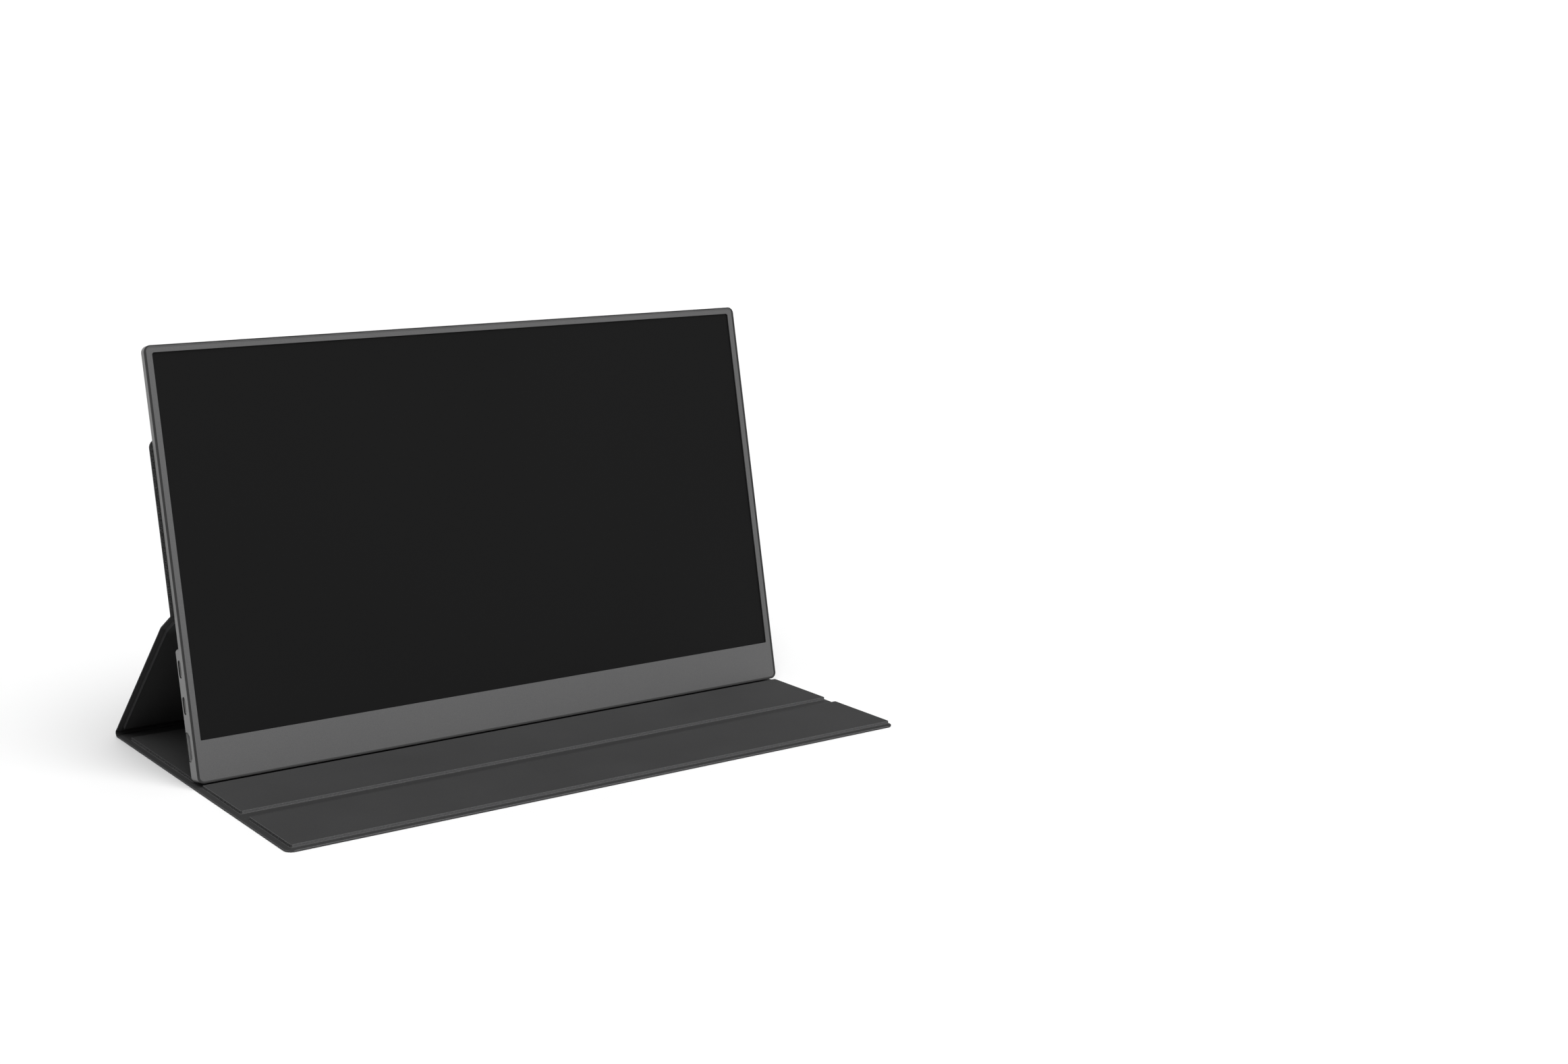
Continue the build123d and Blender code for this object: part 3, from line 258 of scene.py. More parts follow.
@dataclass(frozen=True)
class Leatherette(Finish):
    """Coated cloth, knurled outside and on the pads' walls; lighter where creased and where scuffed, with
    painted highlight on edges, painted light on the pads' end walls, and painted shade and highlight in the
    knurl.
    """

    base: Triple = (0.026, 0.026, 0.0263)
    mottle: float = 1.25
    # The hollow tone is painted shade in the knurl's hollows, and the next tone is painted highlight on its
    # crests.
    hollow: Triple = (0.017, 0.017, 0.0172)
    ridge_highlight: Triple = (0.105, 0.105, 0.106)
    # Tone of the lightening attribute: scuffs, painted highlight on edges and painted light on the pads' end
    # walls.
    wear_and_highlight_tone: Triple = (0.20, 0.20, 0.203)
    pore: float = 0.2 * MM
    stroke: Pair = (1.15 * MM, 0.3 * MM)
    slant: float = radians(38)
    crest: Pair = (0.52, 0.68)
    relief: Pair = (0.12 * MM, 0.03 * MM)
    lightening_patchiness: Pair = (0.8, 0.4)
    roughness: float = 0.7
    specular: float = 0.15

    def draw(self, graph: Graph) -> None:
        """Two noises, each drawn out along one slant, give crossing strokes: height is the larger of both.

        Args:
            graph: The graph, which reads the UV map in metres and the attributes "knurl" and "wear", the
                second for scuffs with painted highlight and painted light.
        """
        where = graph.coordinates("UV")
        scale = (1 / self.stroke[0], 1 / self.stroke[1], 1.0)
        strokes = [graph.noise(graph.mapped(where, scale, turn), 1.0, 1.0)
                   for turn in (self.slant, -self.slant)]
        knurl, wear_and_highlight = graph.attribute("knurl"), graph.attribute("wear_and_highlight")
        fine = graph.noise(where, self.pore)
        # Knurled places take the darker hollow tone, painted shade, and the strokes' crests the lighter
        # tone, painted highlight.
        low = graph.mix(knurl, graph.ramp(fine, self.base, lightened(self.base, self.mottle)), self.hollow)
        edge = graph.ramp(graph.math("MAXIMUM", *strokes), grey(0.0), grey(1.0), self.crest)
        lift = graph.math("MULTIPLY", edge, knurl)
        # The lightening attribute, broken up by fine noise, lays scuffs, painted highlight and painted light
        # over all.
        uneven = graph.math("ADD", graph.math("MULTIPLY", fine, self.lightening_patchiness[0]), self.lightening_patchiness[1])
        wear_and_highlight_mask = graph.math("MULTIPLY", wear_and_highlight, uneven, clamp=True)
        graph.set(Base_Color=graph.mix(wear_and_highlight_mask, graph.mix(lift, low, self.ridge_highlight), self.wear_and_highlight_tone),
                  Roughness=self.roughness, Specular_IOR_Level=self.specular)
        graph.bump(lift, self.relief[0], 0.8, graph.bump(fine, self.relief[1], 0.5))


@dataclass(frozen=True)
class Microfibre(Finish):
    """Short brushed nap: soft, matt, with faint clouds where the nap lies differently."""

    base: Triple = (0.0275, 0.0275, 0.0278)
    nap: Triple = (0.037, 0.037, 0.0375)
    thread: float = 0.34 * MM
    cloud: float = 55 * MM
    cloudy: float = 0.38
    span: Pair = (0.36, 0.66)
    relief: float = 0.035 * MM
    roughness: float = 0.92
    specular: float = 0.18
    sheen: Pair = (0.06, 0.45)

    def draw(self, graph: Graph) -> None:
        """Colour and bump come from fine noise, and broad noise shifts the shade by a few percent.

        Args:
            graph: The graph, which reads Object coordinates.
        """
        where = graph.coordinates("Object")
        nap, cloud = graph.noise(where, self.thread, 4.0), graph.noise(where, self.cloud, 3.0)
        shade = graph.math("ADD", graph.math("MULTIPLY", nap, 1 - self.cloudy),
                           graph.math("MULTIPLY", cloud, self.cloudy))
        graph.set(Base_Color=graph.ramp(shade, self.base, self.nap, self.span), Roughness=self.roughness,
                  Specular_IOR_Level=self.specular, Sheen_Weight=self.sheen[0],
                  Sheen_Roughness=self.sheen[1])
        graph.bump(nap, self.relief, 0.55)


@dataclass(frozen=True)
class SpeckledCoat(Finish):
    """Grey coat with a fine blasted speckle, satin, as on the bezel, the housing and the keys."""

    base: Triple = (0.110, 0.110, 0.111)
    fleck: Triple = (0.135, 0.135, 0.136)
    grain: float = 0.3 * MM
    patch: float = 30 * MM
    span: Pair = (0.34, 0.68)
    relief: float = 0.012 * MM
    roughness: float = 0.42
    uneven: float = 0.14
    metal: float = 0.25

    def draw(self, graph: Graph) -> None:
        """Noise of one grain size gives flecks, and a coarser one varies the gloss.

        Args:
            graph: The graph, which reads Object coordinates.
        """
        where = graph.coordinates("Object")
        grain, broad = graph.noise(where, self.grain, 3.0), graph.noise(where, self.patch)
        gloss = graph.math("MULTIPLY_ADD", broad, self.uneven, self.roughness - self.uneven / 2)
        graph.set(Base_Color=graph.ramp(grain, self.base, self.fleck, self.span), Roughness=gloss,
                  Metallic=self.metal)
        graph.bump(grain, self.relief, 0.6)


@dataclass(frozen=True)
class DarkGlass(Finish):
    """Matt-coated black screen that reflects very little."""

    base: Triple = (0.0060, 0.0060, 0.0061)
    mottle: float = 1.16
    cloud: float = 160 * MM
    span: Pair = (0.3, 0.7)
    coat: float = 0.12 * MM
    relief: float = 0.002 * MM
    roughness: float = 0.34
    specular: float = 0.09

    def draw(self, graph: Graph) -> None:
        """A broad faint noise shifts the black, and a very fine one stands for the matt coat.

        Args:
            graph: The graph, which reads Object coordinates.
        """
        where = graph.coordinates("Object")
        shade = graph.ramp(graph.noise(where, self.cloud, 1.0), self.base,
                           lightened(self.base, self.mottle), self.span)
        graph.set(Base_Color=shade, Roughness=self.roughness, Specular_IOR_Level=self.specular, IOR=1.5)
        graph.bump(graph.noise(where, self.coat, 1.0), self.relief, 0.3)


@dataclass(frozen=True)
class Grained(Finish):
    """Any other solid finish: two close tones in a grain that may be drawn out along one direction."""

    base: Triple
    tone: Triple
    grain: float = 0.6 * MM
    stretch: Triple = (1.0, 1.0, 1.0)
    roughness: float = 0.5
    metal: float = 0.0
    relief: float = 0.01 * MM
    clear: float = 0.0
    specular: float = 0.5
    span: Pair = (0.3, 0.7)

    def draw(self, graph: Graph) -> None:
        """Noise on stretched Object coordinates mixes the two tones and gives the bump.

        Args:
            graph: The graph.
        """
        grain = graph.noise(graph.mapped(graph.coordinates("Object"), self.stretch), self.grain, 3.0)
        graph.set(Base_Color=graph.ramp(grain, self.base, self.tone, self.span), Roughness=self.roughness,
                  Metallic=self.metal, Transmission_Weight=self.clear, Specular_IOR_Level=self.specular)
        graph.bump(grain, self.relief, 0.5)


FINISHES = {
    Slot.LEATHERETTE: Leatherette(),
    Slot.STIFFENER: Grained(grey(0.10), grey(0.14), 0.8 * MM, (0.2, 1.0, 1.0), 0.7),
    Slot.MICROFIBRE: Microfibre(),
    Slot.MAGNET: Grained(grey(0.55), grey(0.66), 0.5 * MM, roughness=0.3, metal=1.0),
    Slot.HOUSING: SpeckledCoat(grey(0.148), grey(0.172), metal=0.8),
    Slot.BEZEL: SpeckledCoat(),
    Slot.GLASS: DarkGlass(),
    Slot.ADHESIVE: Grained(grey(0.012), grey(0.02), 0.5 * MM, roughness=0.6),
    Slot.FILM: Grained(grey(0.72), grey(0.80), 2 * MM, roughness=0.35, relief=0.004 * MM),
    Slot.ACRYLIC: Grained((0.78, 0.82, 0.84), (0.84, 0.87, 0.88), 3 * MM, roughness=0.08, clear=0.8,
                          relief=0.002 * MM),
    Slot.TRAY: Grained(grey(0.42), grey(0.55), 0.35 * MM, (0.08, 1.0, 1.0), 0.34, 1.0),
    Slot.BOARD: Grained((0.006, 0.055, 0.025), (0.012, 0.10, 0.045), 1.6 * MM, roughness=0.36),
    Slot.FLEX: Grained((0.25, 0.10, 0.012), (0.36, 0.16, 0.02), 1.2 * MM, roughness=0.35),
    Slot.FOAM: Grained(grey(0.02), grey(0.045), 0.3 * MM, roughness=0.95, relief=0.12 * MM),
    Slot.MOULDED: Grained(grey(0.008), grey(0.014), 0.3 * MM, roughness=0.6, specular=0.12),
    Slot.SOCKET: Grained(grey(0.38), grey(0.48), 0.3 * MM, (1.0, 0.12, 0.12), 0.42, 0.7),
    Slot.KEY: SpeckledCoat(grey(0.13), grey(0.165), roughness=0.4),
    Slot.SCREW: Grained(grey(0.06), grey(0.11), 0.2 * MM, roughness=0.34, metal=1.0),
}


@cache
def material_of(slot: Slot) -> bpy.types.Material:
    """A slot's material, built at its first use."""
    return FINISHES[slot].build(slot.value)


def dress(piece: bpy.types.Object, slot: Slot) -> None:
    """Give a piece its slot's material, as its only one."""
    piece.data.materials.clear()
    piece.data.materials.append(material_of(slot))


def add_object(name: str, data: bpy.types.ID) -> bpy.types.Object:
    """Put a mesh, light or camera into the scene as a new object."""
    made = bpy.data.objects.new(name, data)
    bpy.context.scene.collection.objects.link(made)
    return made


def tube_faces(rows: int, loop: int, ringed: bool) -> list[list[int]]:
    """Quads between the rings of a grid of rows by loop, the loop closed on itself.

    Args:
        rows: Number of rings.
        loop: Points in each ring.
        ringed: True to join the last ring to the first, False to close both with one face each.

    Returns:
        The faces.
    """
    row, step = np.arange(rows if ringed else rows - 1)[:, None], np.arange(loop)
    after, beside = (row + 1) % rows, (step + 1) % loop
    quads = np.stack([row * loop + step, row * loop + beside, after * loop + beside,
                      after * loop + step], axis=-1).reshape(-1, 4).tolist()
    caps = [list(range(loop)), list(range((rows - 1) * loop, rows * loop))]
    return quads if ringed else quads + caps


def make_piece(name: str, grids: list[np.ndarray], slot: Slot, ringed: bool = False,
               uv: np.ndarray | None = None, wear_and_highlight: np.ndarray | float = 0.0,
               knurl: np.ndarray | float = 0.0) -> bpy.types.Object:
    """Turn grids of points into one dressed object at the origin, with its faces pointing outwards.

    Args:
        name: The piece's name.
        grids: Arrays of rings by points by 3, in metres, each of them a closed form.
        slot: Its finish.
        ringed: True where each last ring meets the first.
        uv: A place on the material for each point, in metres.
        wear_and_highlight: How much each point is lightened, from 0 to 1, for scuffs, painted highlight and
            painted light.
        knurl: How strong its knurl is, from 0 to 1.

    Returns:
        The new object.
    """
    points, faces = np.empty((0, 3)), []
    for grid in grids:
        faces += [[corner + len(points) for corner in face]
                  for face in tube_faces(*grid.shape[:2], ringed)]
        points = np.concatenate([points, grid.reshape(-1, 3)])
    mesh = bpy.data.meshes.new(name)
    mesh.from_pydata(points.tolist(), [], faces)
    sides = bmesh.new()
    sides.from_mesh(mesh)
    bmesh.ops.recalc_face_normals(sides, faces=sides.faces)
    sides.to_mesh(mesh)
    sides.free()
    corners = np.empty(len(mesh.loops), int)
    mesh.loops.foreach_get("vertex_index", corners)
    flat = points[:, :2] if uv is None else uv.reshape(-1, 2)
    mesh.uv_layers.new(name="UVMap").data.foreach_set("uv", flat[corners].astype(np.float32).ravel())
    # The lightening attribute carries scuffs together with painted highlight and painted light.
    for label, values in (("wear_and_highlight", wear_and_highlight), ("knurl", knurl)):
        spread = np.broadcast_to(np.asarray(values, np.float32).ravel(), len(points))
        mesh.attributes.new(label, "FLOAT", "POINT").data.foreach_set("value", spread.copy())
    mesh.polygons.foreach_set("use_smooth", np.ones(len(mesh.polygons), bool))
    mesh.set_sharp_from_angle(angle=SMOOTH_BELOW)
    piece = add_object(name, mesh)
    dress(piece, slot)
    return piece


@dataclass(frozen=True)
class Sheet:
    """One sheet of the cover in the side view, from its fold line to the next one or to its free end."""

    fold: Pair
    end: Pair
    thick: float = 1.6 * MM

    @property
    def long(self) -> float:
        """Its length."""
        return float(np.hypot(self.end[0] - self.fold[0], self.end[1] - self.fold[1]))

    @property
    def way(self) -> np.ndarray:
        """Unit vector along it."""
        return unit(self.end[0] - self.fold[0], self.end[1] - self.fold[1])

    @property
    def inward(self) -> np.ndarray:
        """Direction in which the pads face: the way turned by a quarter."""
        return np.array([-self.way[1], self.way[0]])

    def point(self, run: np.ndarray, height: np.ndarray) -> np.ndarray:
        """Side-view places: fold + run along the way + height over the outer face, square to it.

        Args:
            run: Distances from the fold line.
            height: Distances from the outer face towards the pads.

        Returns:
            An array of (y, z), as long as the arguments.
        """
        lift = np.asarray(height, float)[..., None] - self.thick / 2
        return np.array(self.fold) + np.asarray(run, float)[..., None] * self.way + lift * self.inward

    def place(self, grid: np.ndarray) -> np.ndarray:
        """Points of the shared frame from an array of (x, run, height)."""
        return np.concatenate([grid[..., :1], self.point(grid[..., 1], grid[..., 2])], axis=-1)


@dataclass(frozen=True)
class BentSheet:
    """Two sheets as one run: the heading turns evenly from one to the other over a short zone."""

    first: Sheet
    second: Sheet
    zone: float = 1.5 * MM

    def place(self, grid: np.ndarray) -> np.ndarray:
        """Points of the shared frame: the line is the running sum of its heading, heights are square to it.

        Args:
            grid: Array of (x, run, height).

        Returns:
            The points.
        """
        joint = self.first.long
        table = np.linspace(0.0, 1.3 * joint, 4001)
        start, end = (np.arctan2(sheet.way[1], sheet.way[0]) for sheet in (self.first, self.second))
        turned = np.clip((table - joint + self.zone) / (2 * self.zone), 0, 1)
        heading = start + (end - start) * turned
        way = np.stack([np.cos(heading), np.sin(heading)], axis=-1)
        steps = (table[1] - table[0]) * (way[1:] + way[:-1]) / 2
        line = np.array(self.first.fold) + np.concatenate([np.zeros((1, 2)), np.cumsum(steps, axis=0)])
        angle = np.interp(grid[..., 1], table, heading)
        square = np.stack([-np.sin(angle), np.cos(angle)], axis=-1)
        side = np.stack([np.interp(grid[..., 1], table, axis) for axis in line.T], axis=-1)
        side += (grid[..., 2:] - self.first.thick / 2) * square
        return np.concatenate([grid[..., :1], side], axis=-1)


@dataclass
class Ribbon:
    """A leatherette sheet or fold: a closed slab carried along a line of the side view.

    Each station of the line has a point on the outer face, a direction into the slab, a thickness and half
    a width. Across the slab the thickness is even. Over the pressed hem it eases down to a share of itself,
    and the edge is half an ellipse, a little lighter: scuffs and a painted highlight along its outer curve.
    """

    face: np.ndarray
    into: np.ndarray
    thick: np.ndarray
    half_width: np.ndarray | float
    hem: float = 2.3 * MM
    rim: float = 0.3 * MM
    pressed: float = 0.55
    wear_and_highlight: np.ndarray | float = 0.0
    hem_knurl: float = 0.0
    edge_knurl: np.ndarray | float = 0.0
    edge_wear_and_highlight: float = 0.0
    rim_wear_and_highlight: float = 0.4

    def build(self, name: str) -> bpy.types.Object:
        """Set the loop of one section on every station: point = face + depth * into.

        Args:
            name: The piece's name.

        Returns:
            The ribbon.
        """
        flat, slope = np.linspace(-1, 1, 15)[1:-1], np.linspace(0, 1, 7)
        turn = np.linspace(pi / 2, -pi / 2, 9)[1:]

        def section(deep: float, hem: np.ndarray, edge: np.ndarray, face: float) -> np.ndarray:
            """One value for each point round the section: deep side, hem and edge, face, edge and hem."""
            side = np.concatenate([hem, edge])
            return np.concatenate([deep + 0 * flat, side, face + 0 * flat, side[::-1]])

        fall = 1 - (1 - self.pressed) * smooth(slope)
        share = section(1, fall, self.pressed * (1 + np.sin(turn)) / 2, 0)
        knurl = section(0, self.hem_knurl + 0 * slope, np.clip(1.5 - np.sin(turn), 0, 1), 1)
        # Lighter on the outer curve of the edge: scuffs and a painted highlight.
        wear_and_highlight = section(0, 0 * slope, self.rim_wear_and_highlight * np.sqrt(np.cos(turn)), 0)
        flank = self.hem - self.rim
        inner = np.reshape(self.half_width, (-1, 1)) - self.hem
        side = inner + np.concatenate([slope * flank, flank + self.rim * np.cos(turn)])
        x = np.concatenate([flat * inner, side, -flat * (inner + flank), -side[:, ::-1]], axis=1)
        x = x + 0 * self.thick[:, None]
        deep = self.thick[:, None] * share
        points = np.concatenate([x[..., None], self.face[:, None] + deep[..., None] * self.into[:, None]],
                                axis=-1)
        run = travelled(self.face)[:, None] + 0 * x
        over = np.concatenate([[0.0], np.cumsum(np.abs(np.diff(share)))]) * self.thick.max()
        edge = np.reshape(self.edge_knurl, (-1, 1))
        on_face = share < 0.2
        creased = np.reshape(self.wear_and_highlight, (-1, 1)) * on_face
        # Crease lightening on the outer face, and at a free end scuffs and a painted highlight on the edge.
        wear_and_highlight = np.maximum(np.maximum(wear_and_highlight + 0 * x, creased), self.edge_wear_and_highlight * edge)
        return make_piece(name, [points], Slot.LEATHERETTE, uv=np.stack([x + over, run], axis=-1),
                          wear_and_highlight=wear_and_highlight, knurl=np.maximum(knurl + 0 * x, edge))


def graded(start: float, end: float, step: float, reach: float) -> np.ndarray:
    """Places from start to end: at both ends the steps grow by the square of their number, over a reach.

    Args:
        start: The first place.
        end: The last place.
        step: Distance between the even places in the middle.
        reach: Length of each end's stretch.

    Returns:
        The places.
    """
    near = reach * np.linspace(0, 1, 9) ** 2
    middle = np.linspace(start + reach, end - reach, max(2, round((end - start - 2 * reach) / step)))
    return np.concatenate([start + near[:-1], middle, end - near[-2::-1]])


def rounded_outline(half: Pair, corner: float, inset: float, steps: int = 8) -> np.ndarray:
    """Closed outline of a rounded rectangle round the origin, moved inwards by an inset.

    Each corner is a quarter circle of its radius less the inset, at least a twentieth of a millimetre.

    Args:
        half: Half its width and half its length.
        corner: Radius of its corners.
        inset: How far it is moved inwards.
        steps: Points for each corner.

    Returns:
        An array of (x, y), from the corner at +x +y round to +x -y.
    """
    radius = max(corner - inset, 0.05 * MM)
    signs = np.array([[1, 1], [-1, 1], [-1, -1], [1, -1]])[:, None]
    angle = np.linspace(0, pi / 2, steps) + np.arange(4)[:, None] * pi / 2
    centres = signs * (np.array(half) - inset - radius)
    return (centres + radius * np.stack([np.cos(angle), np.sin(angle)], axis=-1)).reshape(-1, 2)


def plate_rings(half: Pair, corner: float, insets: np.ndarray, heights: np.ndarray,
                step: float = 12 * MM) -> np.ndarray:
    """A rounded rectangle once for each inset and height, with long sides parted evenly.

    A parted side's points lie at the same shares between the same two corners' points in every ring.

    Args:
        half: Half its width and half its length.
        corner: Radius of its corners.
        insets: How far each ring is moved inwards.
        heights: Each ring's height.
        step: Longest wanted distance between points.

    Returns:
        Rings by points by (x, y, height).
    """
    full = rounded_outline(half, corner, 0.0)
    gaps = np.linalg.norm(np.roll(full, -1, axis=0) - full, axis=1)
    counts = np.maximum(1, np.ceil(gaps / step)).astype(int)
    before = np.repeat(np.arange(len(full)), counts)
    share = np.concatenate([np.arange(count) / count for count in counts])[:, None]
    made = []
    for inset, height in zip(insets, heights):
        ring = rounded_outline(half, corner, float(inset))
        flat = ring[before] * (1 - share) + np.roll(ring, -1, axis=0)[before] * share
        made.append(np.column_stack([flat, np.full(len(flat), height)]))
    return np.array(made)


@dataclass
class Pad:
    """A raised pad on a sheet: a knurled wall all round, and a flat microfibre panel in it."""

    name: str
    line: Sheet | BentSheet
    start: float
    end: float
    half_width: float
    side_step: float = 6 * MM
    panel_step: float = 12 * MM
    # Share of the wall's knurl and of its painted highlight and light; a low share dims a wall that lies in
    # shade, which paints that shade.
    knurl_and_light_share: float = 1.0
    foot: float = Sheet.thick
    high: float = 1.6 * MM
    corner: float = 0.8 * MM
    lip: float = 0.16 * MM
    wrap: float = 0.5 * MM
    soft_edge: float = 9 * MM

    def make_wall(self) -> bpy.types.Object:
        """The wall: a closed loop of (inset, height) that flares at its foot and has a small lip.

        Returns:
            The wall.
        """
        half, lip = (self.half_width, (self.end - self.start) / 2), np.linspace(0, pi / 2, 5)
        insets = np.concatenate([np.array([-0.20, -0.05, 0.03, 0.05]) * MM,
                                 0.05 * MM + self.lip * (1 - np.cos(lip)),
                                 [self.wrap - 0.04 * MM, self.wrap, self.wrap]])
        heights = np.concatenate([np.array([0.0, 0.06, 0.22, 0.8]) * MM,
                                  self.high - self.lip * (1 - np.sin(lip)),
                                  [self.high - 0.02 * MM, 0.9 * MM, 0.0]])
        rings = plate_rings(half, self.corner, insets, self.foot + heights, self.side_step)
        rings = rings.transpose(1, 0, 2)
        along = travelled(rings[:, 0])[:, None] + 0 * rings[..., 0]
        over = travelled(np.column_stack([insets, heights])) + 0 * along
        # Lightening of the wall, by ring from foot to lip: on the side walls scuffs and painted highlight
        # lines at the foot and the lip; on the end walls painted light over the whole wall.
        side_wall_wear_and_highlight = np.array([0.45, 0.4, 0.05, 0, 0, 0, 0.15, 0.36, 0.36, 0.25, 0, 0])
        end_wall_wear_and_light = np.array([0.15, 0.3, 0.6, 0.6, 0.6, 0.6, 0.6, 0.3, 0.15, 0.1, 0, 0])
        knurl = np.array([0.2, 0.6, 1, 1, 1, 1, 1, 0.5, 0.3, 0, 0, 0])
        at_side = np.abs(rings[..., 0]) > half[0] - self.corner
        points = self.line.place(rings + [0, (self.start + self.end) / 2, 0])
        return make_piece(f"{self.name}_pad_wall", [points], Slot.LEATHERETTE, True,
                          np.stack([along, over], axis=-1),
                          self.knurl_and_light_share * np.where(at_side, side_wall_wear_and_highlight, end_wall_wear_and_light),
                          self.knurl_and_light_share * knurl + 0 * along)

    def make_panel(self) -> bpy.types.Object:
        """The panel: a slab on a grid of x and run, its ends rounded with the wall's corners.

        Its top rises from its edges by the square root of the product of both shares of the way inwards.

        Returns:
            The panel.
        """
        inset, swell = self.wrap - 0.02 * MM, 0.09 * MM
        run = graded(self.start + inset, self.end - inset, self.panel_step, self.soft_edge)[:, None]
        to_end, rounding = np.minimum(run - run[0], run[-1] - run), self.corner - inset
        width = (self.half_width - inset - rounding
                 + np.sqrt(rounding ** 2 - np.clip(rounding - to_end, 0, None) ** 2))
        x = width * graded(-1, 1, 0.05, self.soft_edge / self.half_width)
        inwards = [np.clip(gap / self.soft_edge, 0, 1) for gap in (width - np.abs(x), to_end)]
        level = self.foot + self.high - 0.10 * MM + swell * np.sqrt(inwards[0] * inwards[1])
        x = np.concatenate([x, x[:, ::-1]], axis=1)
        level = np.concatenate([level, np.full_like(level, self.foot)], axis=1)
        points = self.line.place(np.stack([x, run + 0 * x, level], axis=-1))
        panel = make_piece(f"{self.name}_pad_panel", [points], Slot.MICROFIBRE)
        return panel


